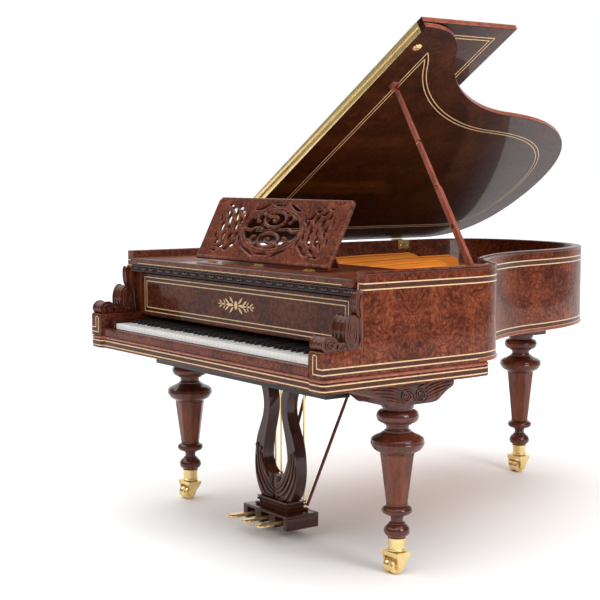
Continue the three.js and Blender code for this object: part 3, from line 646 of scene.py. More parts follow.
def spiral_rope(centre, radii, turns, x, thickness, start=0.0):
    """A raised spiral bead on an upright side face."""
    count = int(26 * turns)
    points = []
    for k in range(count + 1):
        t = k / count
        shrink = 1 - 0.82 * t
        angle = start + 2 * math.pi * turns * t
        y = centre[0] + radii[0] * shrink * math.cos(angle)
        z = centre[1] + radii[1] * shrink * math.sin(angle)
        points.append((x, y, z))
    return tube(points, np.linspace(thickness, thickness * 0.6, count + 1), 8)


def swelling_rope(points, steps, widest, thickness):
    """A raised bead along a smooth curve. Its thickness is given at both ends and at its widest place."""
    path = smooth_curve(points, steps)
    return tube(path, np.interp(np.linspace(0, 1, len(path)), [0, widest, 1], thickness), 8)


def fluted_block(outline, low, high, flutes, depth, round_edge=4.0, stations=31):
    """A side outline carried along X, with rounded ends and hollows running round its face."""
    outline = np.asarray(outline, float)
    xs = np.linspace(low, high, stations)
    rings = []
    for x in xs:
        t = (x - low) / (high - low)
        end = min(x - low, high - x)
        inset = depth * (0.5 - 0.5 * math.cos(2 * math.pi * flutes * t)) if flutes else 0.0
        if end < round_edge:
            inset += round_edge - math.sqrt(max(round_edge**2 - (round_edge - end) ** 2, 0))
        ring = shifted(outline, -inset, closed=True)
        rings.append(np.column_stack([np.full(len(ring), x), ring]))
    n = len(outline)
    return np.concatenate(rings), end_caps(stations, n) + grid_faces(stations, n)


def oval(cy, cz, ry, rz, steps=36, lean=0.0):
    """An oval outline in (y, z), leaning by an angle."""
    angles = np.linspace(0, 2 * math.pi, steps, endpoint=False)
    y, z = ry * np.cos(angles), rz * np.sin(angles)
    return np.column_stack(
        [cy + y * math.cos(lean) - z * math.sin(lean), cz + y * math.sin(lean) + z * math.cos(lean)],
    )


def make_arms():
    """Each arm is a veneered cheek with a small and a large carved volute on it and a bracket above them."""
    cheek = [(4, 684.3), (4, 760), (8, 765.6), (164.6, 765.6), (164.6, 684.3)]
    post = [(164.8, 684.3), (164.8, 765.6), (183, 765.6), (183, 925.4), (200.8, 925.4), (200.8, 684.3)]
    swell = [
        (164.8, 764), (164.8, 947), (160, 941), (152.5, 920), (150.4, 898), (155, 870), (151, 850),
        (142, 764),
    ]
    for sign, name in SIDES:
        low, high = sorted((sign * ARM_INNER, sign * CASE_HALF))
        outer = sorted((sign * (CASE_HALF - RIM_WALL + 1), sign * (CASE_HALF - 1)))
        inner = sorted((sign * (ARM_INNER - 3.8), sign * (CASE_HALF - RIM_WALL - 0.4)))
        wood = prism(cheek, low + 0.2, high - 0.2, "x")
        piece(f"arm_{name}_cheek", wood, BURL, [f"arm_{name}"], bevel=1.6)
        posts = merge([prism(post, *inner, "x"), prism(swell, *outer, "x")])
        piece(f"arm_{name}_post", posts, RED_BROWN, bevel=1.6)
        link = [(26, 765), (150, 765), (136, 780), (118, 786), (92, 777), (62, 790), (40, 790)]
        scrolls = [
            fluted_block(oval(123, 816, 24.6, 51)[::-1], low + 1, high - 1, 3, 4.0, 7.0, 43),
            fluted_block(oval(36, 786, 25, 21)[::-1], low + 3, high - 3, 3, 4.0, 7.0, 43),
            prism(link, low + 6, high - 5, "x"),
            fluted_block(oval(84, 776, 20, 12)[::-1], low + 3, high - 3, 5, 2.6, 4.0, 43),
            fluted_block(oval(148, 905, 7, 34, lean=0.06)[::-1], outer[0] + 4, outer[1] - 4, 2, 2.6, 5.0, 31),
        ]
        for x in (low + 1.4, high - 1.4):
            scrolls.append(spiral_rope((123, 816), (20.6, 46), 2.2, x, 3.4, 1.9))
            scrolls.append(spiral_rope((36, 786), (20, 16.5), 2.0, x, 3.2, 0.4))
            scrolls.append(
                spiral_rope((86, 777), (12, 8), 1.5, x - 1 if x > (low + high) / 2 else x + 1, 2.4, 3.4),
            )
            scrolls.append(
                tube([(x, 148, 866), (x, 152, 840), (x, 154, 806), (x, 158, 772)], [2.4, 3.2, 3.2, 2.4], 8),
            )
        for x in (outer[0] + 8, (outer[0] + outer[1]) / 2, outer[1] - 8):
            drop = [(x, 156, 938), (x, 146, 915), (x, 143, 898), (x, 149, 876), (x, 153, 862)]
            scrolls.append(swelling_rope(drop, 4, 0.45, [1.6, 4.4, 1.4]))
        piece(f"arm_{name}_scrolls", merge(scrolls), CARVED, crease=50)


# ---- inside the case ----
def inset_path(front, inset, steps=26):
    """The case plan drawn in and closed along a straight front line."""
    path = shifted(case_path(RIM_FRONT, steps), -inset)
    keep = path[path[:, 1] > front]
    first, last = keep[0], keep[-1]
    return np.vstack([[(first[0], front)], keep, [(last[0], front)]])


def bentside_x(y):
    """How far the case reaches to the treble side at a given Y."""
    path = case_path(RIM_FRONT)
    path = path[path[:, 0] > -330][::-1]
    order = np.argsort(path[:, 1])
    return float(np.interp(y, path[order, 1], path[order, 0]))


def make_inside():
    board = prism(inset_path(640, RIM_WALL + 1), 800, 808)
    piece("soundboard_wood", board, SPRUCE, ["soundboard"])
    beams = [box(-696, 640, 702, 770, 684.5, 799)]
    for x0, x1, rear in ((-430, -545, 1900), (-200, -200, 1990), (60, -50, 1880), (330, 330, 1090)):
        beams.append(tube([(x0, 745, 740), (x1, rear, 740)], 41, 4))
    beams.append(box(-330, -70, 1740, 1880, 684.5, 779))
    piece("back_beams", merge(beams), SPRUCE, ["back_frame"], bevel=3.0)

    outer = inset_path(424, RIM_WALL + 5)
    window = inset_path(780, RIM_WALL + 120)
    field = lambda x, y: np.minimum(edge_distance(outer, x, y), -edge_distance(window, x, y))
    top = lambda x, y: PLATE_TOP - 4 * np.exp(-np.clip(field(x, y), 0, 60) / 5)
    plate = carved(field, -700, 700, 420, 2010, 12, lambda x, y: PLATE_LOW + 0 * x, top)
    webs = []
    for x, rear in ((-520, 1490), (-300, 1520), (-60, 1240), (150, 1070), (340, 950)):
        side = [(732, 892), (732, 925), (760, 941), (rear * 0.62 + 280, 953), (rear - 40, 955)]
        side += [(rear - 12, 948), (rear, 930), (rear, 892)]
        webs.append(prism(side, x - 13, x + 13, "x"))
    piece("iron_plate_web", merge(webs), GILT, bevel=5.0)
    piece("iron_plate_casting", plate, GILT, ["iron_plate"])
    block = box(-689, 689, 428, 620, 838, 877.4)
    piece("pin_block_wood", block, DARK, ["pin_block"], bevel=2.0)

    treble = smooth_curve([(430, 830), (270, 960), (150, 1200), (30, 1480), (-170, 1700)], 8)
    bass = smooth_curve([(-600, 1640), (-470, 1730), (-320, 1790)], 8)
    for name, line in (("treble", treble), ("bass", bass)):
        rail = [(-15, 808.4), (15, 808.4), (13, 868), (9, 876.6), (-9, 876.6), (-13, 868)]
        piece(f"{name}_bridge_wood", sweep(line, rail), SPRUCE, [f"{name}_bridge"])

    wires, wound, pins = [], [], []
    for k in range(STRINGS):
        x = FIRST_STRING + k * STRING_PITCH
        bass = x < BASS_BREAK
        rear = 1680 if bass else next((y for y in np.arange(1900, 820, -10) if bentside_x(y) - 90 > x), 0)
        if rear < 860:
            continue
        ends = [(x, 640, STRING_HEIGHT), (x - 0.02 * (rear - 640), rear, STRING_HEIGHT)]
        run = tube(ends, 1.7 if bass else 0.9, 5)
        (wound if bass else wires).append(run)
        for row in range(2):
            y = 560 + 26 * row + 6 * math.sin(k)
            pins.append(
                lathe([(0, PLATE_TOP), (3.2, PLATE_TOP), (3.2, 918), (2.4, 920), (0, 920)], 8, (x, y)),
            )
    piece("strings_plain", merge(wires), STEEL)
    piece("strings_wound", merge(wound), COPPER)
    piece("tuning_pins", merge(pins), STEEL)


# ---- keyboard, action, dampers ----
def has_sharp(white):
    return (white + 5) % 7 not in (2, 6) and white < WHITE_KEYS - 1


def sharp_middle(white):
    nudge = (-2.5, 2.5, 0, -3, 0, 3, 0)[(white + 5) % 7]
    return -KEYS_HALF + (white + 1) * KEY_PITCH + nudge


def make_keys():
    whites, blacks = [], []
    for white in range(WHITE_KEYS):
        left = -KEYS_HALF + white * KEY_PITCH + 0.45
        right = left + KEY_PITCH - 0.9
        tail_left = sharp_middle(white - 1) + 6.4 if white and has_sharp(white - 1) else left
        tail_right = sharp_middle(white) - 6.4 if has_sharp(white) else right
        outline = [(left, 42), (right, 42), (right, 92), (tail_right, 92.5), (tail_right, 289)]
        outline += [(tail_left, 289), (tail_left, 92.5), (left, 92)]
        outline = [p for i, p in enumerate(outline) if p != outline[i - 1]]
        whites.append(prism(outline, 713, 733))
        if has_sharp(white):
            x = sharp_middle(white)
            points = []
            for half, front, z in ((5.4, 96, 719.5), (4.4, 101, 745)):
                points += [(x - half, front, z), (x + half, front, z), (x + half, 200, z), (x - half, 200, z)]
            blacks.append((np.array(points), end_caps(2, 4) + grid_faces(2, 4)))
    piece("keys_white", merge(whites), IVORY, ["white_keys"], "white_key_set", bevel=0.7)
    rail = box(-KEYS_HALF + 2, KEYS_HALF - 2, 201, 289, 738.4, 744.6)
    piece("keys_black", merge(blacks + [rail]), EBONY, ["black_keys"], "black_key_set", bevel=1.2)
    base = box(-612, 612, 60, 609, 686.2, 699.6)
    piece("key_frame_wood", base, SPRUCE, ["key_frame"], "key_action", bevel=1.5)
    rest = [(311, 700.6), (598, 700.6), (598, 742), (311, 722)]
    parts = [prism(rest, -604, 604, "x"), box(-604, 604, 480, 520, 741, 752)]
    for k in range(ALL_KEYS):
        x = -598 + k * ACTION_PITCH
        parts.append(box(x - 1.5, x + 1.5, 400, 590, 762, 768))
        parts.append(tube([(x, 440, 764), (x, 440, 812)], 3, 6))
        parts.append(tube([(x, 440, 812), (x, 440, 828)], [7, 5], 8))
        parts.append(box(x - 4, x + 4, 560, 590, 740, 764))
    parts.append(box(-604, 604, 566, 594, 766, 775))
    piece("action_parts", merge(parts), SPRUCE, ["action_stack"], "key_action")

    heads = []
    for k in range(DAMPERS):
        x = -590 + k * ACTION_PITCH
        heads.append(box(x - 5, x + 5, 645, 677, 897, 907))
        heads.append(box(x - 4, x + 4, 652, 670, 907, 921.6))
    rail = box(-600, 310, 653, 669, 921.2, 933.6)
    piece("damper_heads", merge(heads + [rail]), FELT, ["damper_rail"], "dampers", bevel=0.6)


# ---- fallboard, shelf, desk ----
def leaf_outline(length, width, bend=0.0, steps=12):
    """A pointed leaf from (0, 0) along +X."""
    t = np.linspace(0, 1, steps)
    swell = width * np.sin(math.pi * t) ** 0.8 * (1 - 0.35 * t)
    spine = bend * np.sin(math.pi * t)
    upper = np.column_stack([length * t, spine + swell])
    lower = np.column_stack([length * t, spine - swell])[::-1]
    return np.vstack([upper, lower[1:-1]])


def turned_outline(outline, angle, step):
    c, s = math.cos(angle), math.sin(angle)
    return np.asarray(outline) @ np.array([[c, s], [-s, c]]) + step


def make_front():
    face = 183
    board = [
        (face, 758), (face + 2, 756.3), (199, 756.3), (201, 758), (201, 917), (198, 920), (face + 3, 920),
        (face, 917),
    ]
    # Its burl is darkened as painted shade from the music shelf above.
    piece("fallboard_panel", prism(board, -660.8, 660.8, "x"), BURL_FALLBOARD_PAINTED_SHADE, ["fallboard"], "fallboard")
    upright = lambda shape: moved(quarter_turned(shape, "X"), (0, face, 0))
    lines = [panel_lines(-636 + m, 636 - m, 773 + m, 905 - m, 0, 1, 3.6) for m in (0, 15)]
    piece("fallboard_inlay", upright(merge(lines)), MAPLE, body="fallboard")
    band = panel_lines(-628.5, 628.5, 780.5, 897.5, -0.35, 1, 11)
    piece("fallboard_inlay_band", upright(band), BAND, body="fallboard")
    sprays = [prism(oval(0, 842, 10, 15, 20), -0.4, 0.8)]
    for sign in (1, -1):
        for length, width, angle, dx, dz in (
            (52, 6, 0.0, 14, 0), (34, 5, 0.75, 16, 6), (34, 5, -0.75, 16, -6), (30, 4.5, 0.6, 44, 4),
            (30, 4.5, -0.6, 44, -4), (26, 3.5, 0.0, 68, 0), (18, 3, 0.9, 68, 3), (18, 3, -0.9, 68, -3),
            (22, 3.2, 0.5, 88, 3), (22, 3.2, -0.5, 88, -3), (20, 2.6, 0.0, 96, 0),
        ):
            leaf = turned_outline(leaf_outline(length, width), angle, (dx, dz))
            leaf = np.column_stack([sign * leaf[:, 0], leaf[:, 1] + 842])
            sprays.append(prism(leaf, -0.4, 0.8))
    piece("fallboard_ornament", upright(merge(sprays)), MAPLE, body="fallboard")

    rail = [(154, 926), (228, 926), (228, 951.4), (164, 951.4), (160, 948), (159, 932), (154, 929)]
    parts = [prism(rail, -696.4, 696.4, "x"), both_sides(box(673, 696, 220, 599, 938.4, 951.4))]
    piece("name_rail_wood", merge(parts), BLACK, ["name_rail"], bevel=0.8)
    board = box(-660, 660, 206, 211, 772, 925.6)
    piece("name_board_panel", board, RED_BROWN, bevel=0.8)
    beads = []
    for k in range(23):
        points, faces = lathe([(0, -5), (3.4, -3.8), (5, 0), (3.4, 3.8), (0, 5)], 14)
        beads.append((points * [4.2, 0.7, 1.0] + [-660 + k * 60, 157, 938], faces))
    beads += [box(-696, 696, 155, 160, 927, 930), box(-696, 696, 155.5, 160, 946, 949)]
    piece("name_rail_beads", merge(beads), DARK)

    nose = [
        (153, 955), (155, 952.4), (584, 952.4), (585, 954), (585, 975), (583, 977), (156, 977), (153, 974),
    ]
    board = prism(nose, -SHELF_HALF, SHELF_HALF, "x")
    piece("music_shelf_board", board, BURL, ["music_shelf"], "music_shelf")
    upper = [(151.6, 972.5), (154.5, 972), (154.5, 978), (151.6, 977)]
    lower = [(151.8, 953), (154.5, 952.6), (154.5, 957), (151.8, 956)]
    rims = merge([prism(rim, -SHELF_HALF, SHELF_HALF, "x") for rim in (upper, lower)])
    piece("music_shelf_edges", rims, DARK, body="music_shelf")
    # A thin brass strip along the shelf's front, drawn where a bright highlight line runs along it: a painted
    # highlight.
    line = box(-640, 640, 152.4, 154, 957.6, 959.2)
    piece("music_shelf_highlight_strip", line, BRASS, body="music_shelf")


def desk_field():
    """Scrollwork: an oval medallion with two scrolled eyes between two sprays of pierced leaves."""
    bands = []

    def ring(cx, cy, rx, ry, width):
        angles = np.linspace(0, 2 * math.pi, 33)
        bands.append((np.column_stack([cx + rx * np.cos(angles), cy + ry * np.sin(angles)]), width))

    ring(0, 174, 64, 31, 6)
    ring(0, 92, 62, 28, 6)
    bands.append((smooth_curve([(-58, 188), (-28, 184), (2, 184), (16, 174), (4, 166), (-8, 170)]), 5.5))
    bands.append((smooth_curve([(58, 78), (28, 82), (-2, 82), (-16, 92), (-4, 99), (8, 95)]), 5.0))
    for sign in (1, -1):
        for line, width in (
            ([(56, 133), (96, 137), (128, 128), (166, 133)], 6.0),
            ([(58, 186), (84, 196), (106, 184), (104, 166), (90, 162)], 6.0),
            ([(106, 184), (126, 178), (146, 182)], 5.0),
            ([(56, 80), (82, 70), (104, 82), (102, 100), (88, 104)], 6.0),
            ([(104, 82), (124, 88), (146, 84)], 5.0),
        ):
            bands.append((smooth_curve([(sign * x, y) for x, y in line]), width))
    leaves = []
    for sign in (1, -1):
        for cx, cy, a, b, lean, bend in (
            (212, 190, 24, 8, 0.7, 7), (240, 212, 18, 6, 0.2, 4), (206, 158, 15, 6, 1.3, -4),
            (246, 178, 22, 9, 1.1, -7), (232, 134, 20, 9, 1.5, 6), (206, 106, 16, 6, -1.2, 4),
            (244, 96, 22, 9, -1.0, 6), (214, 66, 24, 8, -0.6, -7), (244, 48, 18, 6, -0.2, -4),
            (278, 204, 20, 7, 0.5, 5), (286, 166, 22, 10, 1.3, -7), (270, 130, 15, 6, 1.57, -4),
            (288, 96, 22, 10, -1.3, 7), (280, 58, 20, 7, -0.5, -5), (314, 190, 16, 7, 1.0, 4),
            (316, 134, 24, 9, 1.57, -6), (318, 76, 16, 7, -1.0, -4), (342, 166, 14, 5, 1.4, 3),
            (342, 100, 14, 5, -1.4, -3), (310, 222, 14, 4, 0.1, 2), (312, 38, 14, 4, -0.1, -2),
        ):
            leaves.append((sign * cx, cy, a, b, sign * lean, sign * bend))
    for sign in (1, -1):
        for cx, cy, a, b, lean, bend in (
            (96, 221, 46, 6, -0.36, 5), (96, 44, 46, 6, 0.36, -5),
            (182, 176, 18, 5, -1.1, 4), (182, 90, 18, 5, 1.1, -4),
        ):
            leaves.append((sign * cx, cy, a, b, sign * lean, bend))
    leaves += [(0, 230, 40, 5, 0, 4), (0, 36, 40, 5, 0, -4)]

    def field(x, y):
        half, top, cut_corner = 412, 256, 14
        edge = np.minimum(half - abs(x), np.minimum(y - 2, top - y))
        edge = np.minimum(edge, (half + top - cut_corner - abs(x) - y) / 1.4142)
        hole = (1 - np.hypot(x / 164, (y - 133) / 75)) * 75
        for line, width in bands:
            hole = np.minimum(hole, line_distance(line, x, y) - width)
        for cx, cy, a, b, lean, bend in leaves:
            u = (x - cx) * math.cos(lean) + (y - cy) * math.sin(lean)
            v = -(x - cx) * math.sin(lean) + (y - cy) * math.cos(lean)
            hole = np.maximum(hole, b * (1 - (u / a) ** 2) - abs(v - bend * ((u / a) ** 2 - 0.4)))
        return np.minimum(edge, -hole)

    return field


def make_desk():
    field = desk_field()
    step = 2.0

    def front(x, y):
        depth = np.clip(field(x, y), 0, 7)
        groove = abs(np.hypot(x / 178, (y - 133) / 86) - 1) * 86
        return 13.2 - 3.0 * (1 - depth / 7) ** 2 - 1.6 * np.exp(-((groove / 2.5) ** 2))

    board = carved(field, -414, 414, 0, 258, step, lambda x, y: 3.6 + 0 * x, front)
    hinge = joint_place("desk_hinge")
    raised = Matrix.Rotation(DESK_RAISED, 4, "X")
    place = lambda shape: moved(moved(shape, turn=raised), hinge * [0, 1, 1])
    piece("music_desk_board", place(board), BURL, ["music_desk"], "music_desk")
    lip = box(-404, 404, 3, 14, 13, 17)
    piece("music_desk_lip", place(lip), BURL, body="music_desk", bevel=1.0)
    leaves = [box(x - 28, x + 28, hinge[1] - 16, hinge[1] - 4, 976.6, 978.4) for x in (-300, 0, 300)]
    leaves += [
        tube([(x - 28, hinge[1] - 3, 980), (x + 28, hinge[1] - 3, 980)], 2.4, 10)
        for x in (-300, 0, 300)
    ]
    piece("desk_hinge_leaves", merge(leaves), BRASS, body="music_shelf")

    joint = joint_place("desk_strut_hinge")
    lean = Matrix.Rotation(-DESK_RAISED, 4, "X")
    legs = merge([both_sides(box(277, 299, 0, 140.8, -2.9, 2.9)), box(-299, 299, 119, 140.8, -2.6, 2.6)])
    strut = moved(moved(legs, turn=lean), joint * [0, 1, 1])
    piece("desk_strut_frame", strut, RED, ["desk_strut"], "desk_strut", bevel=1.2)


# ---- lid ----
def lid_path(inset=0.0, front=SPLIT_Y + 3.0, steps=26):
    """Plan of the main lid, drawn in by an inset on every side."""
    path = shifted(case_path(RIM_FRONT, steps), 5 - inset)
    keep = path[path[:, 1] > front + inset]
    first, last = keep[0], keep[-1]
    return np.vstack([[(first[0], front + inset)], keep, [(last[0], front + inset)]])


def make_lid():
    outline = lid_path(LID_NOSE, SPLIT_Y + 3 - LID_NOSE)
    board = prism(outline, LID_BOTTOM, LID_TOP)
    # The lid board takes the darkened burl: painted shade for its shaded underside.
    piece("main_lid_board", opened(board), BURL_LID_PAINTED_SHADE, ["main_lid"], "lid", bevel=1.2)
    steps = [
        (-1, 1010), (2.2, 1010.6), (2.8, 1013), (2.2, 1017), (0.6, 1018), (0.6, 1020), (2.6, 1021),
        (3.2, 1024), (2.2, 1027), (-1, 1027.6),
    ]
    piece("main_lid_edge", opened(sweep(outline[:-1], steps)), RED, body="lid")
    lines = []
    for inset in (108, 122):
        low, high = LID_BOTTOM - 0.7, LID_BOTTOM + INLAY_SUNK
        profile = [(-1.7, low), (1.7, low), (1.7, high), (-1.7, high)]
        line = sweep(lid_path(inset), profile, closed=True)
        lines += [line, moved(line, (0, 0, LID_TOP - LID_BOTTOM + 0.3))]
    piece("main_lid_inlay", opened(merge(lines)), MAPLE, body="lid")

    front, rear, side = 160 + LID_NOSE, SPLIT_Y - 3, LID_EDGE - LID_NOSE
    flap = box(-side, side, front, rear, LID_BOTTOM, LID_TOP)
    # The flap takes the same darkened burl, painted shade.
    piece("front_flap_board", folded(flap), BURL_LID_PAINTED_SHADE, ["front_flap"], "lid_flap", bevel=1.2)
    u_path = [(-side, rear), (-side, front), (side, front), (side, rear)]
    piece("front_flap_edge", folded(sweep(u_path, steps)), RED, body="lid_flap")
    lines = [
        panel_lines(-680 + m, 680 - m, front + 60 + m, rear - 60 - m, face, up, 3.6)
        for face, up in ((LID_TOP, 1), (LID_BOTTOM, -1))
        for m in (0, 15)
    ]
    piece("front_flap_inlay", folded(merge(lines)), MAPLE, body="lid_flap")

    low, high = -LID_EDGE + 8, LID_EDGE - 30
    leaf = box(low, high, SPLIT_Y + 0.7, SPLIT_Y + 2.7, LID_BOTTOM + 1, LID_TOP - 0.5)
    knuckle = tube([(low, SPLIT_Y, LID_TOP + 1.5), (high, SPLIT_Y, LID_TOP + 1.5)], 2.6, 10)
    piece("lid_leaf_brass", opened(merge([leaf, knuckle])), BRASS, ["lid_hinge_leaf"], "lid", bevel=0.3)
    leaf = box(low, high, SPLIT_Y - 2.7, SPLIT_Y - 0.7, LID_BOTTOM + 1, LID_TOP - 0.5)
    piece("flap_leaf_brass", folded(leaf), BRASS, ["flap_hinge_leaf"], "lid_flap", bevel=0.3)

    cup = [box(402, 432, 684, 712, 1001, 1007.7), box(402, 408, 684, 712, 990, 1002)]
    cup += [box(402, 432, 684, 689, 990, 1002), box(402, 432, 707, 712, 990, 1002)]
    piece("prop_cup_wood", opened(merge(cup)), RED, ["prop_cup"], "lid", bevel=1.2)
    petals = [lathe([(0, 1003.6), (8, 1003.8), (11, 1005.2), (12, 1007.7), (0, 1007.7)], 24, (630, 648))]
    petal = [(0, 1004), (4, 1004.6), (6.2, 1006.4), (6.4, 1007.7), (0, 1007.7)]
    for angle in np.arange(8) * math.pi / 4:
        petals.append(lathe(petal, 14, (630 + 11.5 * math.cos(angle), 648 + 11.5 * math.sin(angle))))
    piece("lid_catch_rosette", opened(merge(petals)), BRASS, ["lid_catch"], "lid")

    for y, name in ((1110, "front"), (1560, "rear")):
        pin = tube([(LID_AXIS[0], y - 32, LID_AXIS[2]), (LID_AXIS[0], y + 32, LID_AXIS[2])], 3.5, 14)
        parts = [
            pin, box(-741, -696, y - 32, y + 32, 1004.3, 1005.6),
            box(-696.6, -693.4, y - 32, y + 32, 966, 1005.2),
        ]
        for dy in (-18, 18):
            stud = quarter_turned(lathe([(0, 0), (6, 0.2), (5, 3), (0, 5)], 16), "Y")
            parts.append(moved(stud, (-693.8, y + dy, 980)))
        piece(f"rim_butt_{name}_brass", merge(parts), BRASS, [f"rim_butt_{name}"], bevel=0.4)


def make_prop():
    pivot = joint_place("prop_hinge")
    turn = Matrix.Rotation(-PROP_LEAN, 4, "Y")
    place = lambda shape: moved(moved(shape, turn=turn), pivot)
    edge = [(-12, -9), (90, -9), (PROP_LENGTH - 60, -6), (PROP_LENGTH, -4)]
    outline = edge + [(along, -out) for along, out in edge[::-1]]
    piece("prop_stick_wood", place(prism(outline, -6.5, 6.5, "y")), RED, ["prop_stick"], "prop", bevel=1.8)
    short = prism([(16, -6), (330, -5.5), (338, -3), (338, 3), (330, 5.5), (16, 6)], 7.2, 14.5, "y")
    piece("prop_short_wood", place(short), RED, body="prop", bevel=1.6)
    ends = [quarter_turned(lathe([(0, -9), (5, -9), (6, -7.5), (6, 16), (5, 17), (0, 17)], 18), "X", -1)]
    ends.append(box(PROP_LENGTH - 8, PROP_LENGTH + 2, -4.6, 4.6, -4.6, 4.6))
    for along in (180, 335, 520):
        ends.append(box(along - 6, along + 6, -8.4, 8.4, -7.2, 7.2))
    piece("prop_stick_brass", place(merge(ends)), COPPERED, body="prop", bevel=0.5)
    x, y = PROP_BRACKET
    parts = [
        box(x - 26, x + 16, y - 17, y + 34, 894.4, 958),
        prism(
            [(x - 10, 957), (x + 10, 957), (x + 10, 978), (x + 5, 988), (x - 5, 988), (x - 10, 978)], y - 17,
            y - 12, "y",
        ),
    ]
    piece("prop_bracket_brass", merge(parts), BRASS, ["prop_bracket"], bevel=1.0)


# ---- legs ----
def torus_side(radius, low, high, bulge, steps=8):
    """Half-round ring profile."""
    out = []
    for k in range(steps + 1):
        angle = math.pi * k / steps - math.pi / 2
        z = (low + high) / 2 + (high - low) / 2 * math.sin(angle)
        out.append((radius + bulge * math.cos(angle), z))
    return out


def make_leg(name, lift, top):
    """One leg with its ferrule and caster. lift raises its shaft, and top is where it ends."""
    x, y = middle(f"leg_{name}")[:2]
    k = OCTAGON_TOP + lift
    upper = [(0, k - 6), (55, k - 6), (57, k + 2)]
    upper += list(smooth_curve([(60, k + 4), (66, k + 8), (78, k + 16), (87, k + 30), (89, k + 38)], 5))
    upper += list(smooth_curve([(88, k + 41), (86, k + 50), (76, k + 58), (60, k + 65), (48, k + 72)], 5))
    upper += [
        (44, k + 73), (44, k + 77), (39, k + 79), (37, k + 86), (38, k + 94), (46, k + 97), (46, k + 101),
    ]
    upper += torus_side(52, k + 103, k + 145, 18, 12)
    upper += [(50, k + 147), (50, k + 152), (54, k + 154), (54, top - 0.5), (0, top - 0.5)]
    lower = [(0, 118.6), (30, 118.6), (31, 122)]
    lower += list(smooth_curve([(33, 123), (40, 130), (43, 140), (40, 152), (31, 162)], 5))
    lower += [(27, 165), (27, 168), (21, 171), (20, 180), (22, 188), (28, 191), (28, 194)]
    lower += torus_side(34, 195, 224, 17, 12)
    lower += [(36, 226), (36, 231), (0, 231)]
    turned_parts = [lathe(upper, 56, (x, y)), lathe(lower, 56, (x, y))]
    piece(f"leg_{name}_turned", merge(turned_parts), LEG_DARK, [f"leg_{name}"], crease=28)
    taper = lathe([(0, 228), (35, 228), (37, 233), (58.5, k - 3), (60, k), (0, k)], 8, (x, y), math.pi / 8)
    piece(f"leg_{name}_taper", taper, RED_BROWN, bevel=1.2, crease=20)
    rings = lathe(
        [
            (0, 73.2), (27, 73.2), (29.5, 75), (29.5, 80), (27.5, 82), (28.6, 112), (31, 113), (31, 117),
            (29, 118), (0, 118),
        ],
        48, (x, y),
    )
    piece(f"ferrule_{name}_brass", rings, BRASS, [f"ferrule_{name}"])

    trail = y - 16
    cheek = [(y + 26, 71.5), (y - 32, 71.5), (y - 33, 61), (y - 27, 52), (trail - 9, 36), (trail - 11, 25)]
    cheek += [
        (trail - 8, 16), (trail, 12.5), (trail + 9, 15), (trail + 17, 26), (trail + 22, 38), (y + 18, 52),
        (y + 26, 62),
    ]
    fork = [prism(cheek, x + 31.4, x + 38.6, "x"), prism(cheek, x - 38.6, x - 31.4, "x")]
    fork.append(box(x - 31.8, x + 31.8, y - 30, y + 24, 58, 71))
    fork.append(lathe([(0, 69), (33, 69), (33, 72), (0, 72)], 40, (x, y)))
    for sign in (1, -1):
        cap = quarter_turned(lathe([(0, 0), (7, 0), (6.4, 2.4), (0, 3.2)], 20), "Y", sign)
        fork.append(moved(cap, (x + sign * 38.2, trail, AXLE_HEIGHT)))
    piece(f"caster_fork_{name}_brass", merge(fork), BRASS, [f"caster_fork_{name}"], f"caster_{name}")
    rim = [(0, -28), (10, -28), (11, -26), (19, -26), (23.4, -24), (25, -20), (24.2, -8), (23.6, -7)]
    rim += [(radius, -along) for radius, along in rim[::-1]]
    wheel = moved(quarter_turned(lathe(rim, 48), "Y"), (x, trail, AXLE_HEIGHT))
    piece(f"caster_wheel_{name}_brass", wheel, BRASS, [f"caster_wheel_{name}"], f"wheel_{name}")


def make_legs():
    make_leg("treble", 0, 567)
    make_leg("bass", 0, 567)
    make_leg("rear", 44, 610)
    y = middle("leg_treble")[1]
    half = np.vstack(
        [
            [(84, 567)],
            smooth_curve([(84, 567), (104, 571), (126, 586), (146, 600), (170, 612), (176, 622)], 5),
            [(176, 635.4)],
        ],
    )
    outline = np.vstack([half, (half * [-1, 1])[::-1]]) + [y, 0]

    ropes = []
    for side in (1, -1):
        ropes.append(spiral_rope((y + side * 28, 597), (25, 23), 2.4, 0, 4.4, math.pi / 2 + side * 1.4))
        for start, middle_point, end in (
            ((40, 574), (78, 583), (112, 590)), ((52, 582), (92, 594), (140, 606)), (
                (56, 592), (104, 608), (160, 617),
            ),
            ((56, 603), (100, 619), (166, 628)), ((50, 614), (92, 626), (140, 632)), (
                (20, 622), (52, 630), (96, 633),
            ),
        ):
            line = [(0, y + side * u, z) for u, z in (start, middle_point, end)]
            ropes.append(swelling_rope(line, 6, 0.4, [3.0, 5.2, 2.4]))
    points, faces = merge(ropes)
    for sign, name in SIDES:
        core = prism(outline, *sorted((sign * 564, sign * 717)), "x")
        carving = merge([(points + [sign * face, 0, 0], faces) for face in (717.5, 564.5)])
        piece(f"leg_bracket_{name}_core", core, DARK, [f"leg_bracket_{name}"], bevel=3.0)
        piece(f"leg_bracket_{name}_carving", carving, CARVED, crease=60)
    rear = middle("leg_rear")
    block = box(rear[0] - 94, rear[0] + 94, rear[1] - 59, rear[1] + 59, 610.4, 683.4)
    piece("leg_block_rear_wood", block, DARK, ["leg_block_rear"], bevel=3.0)


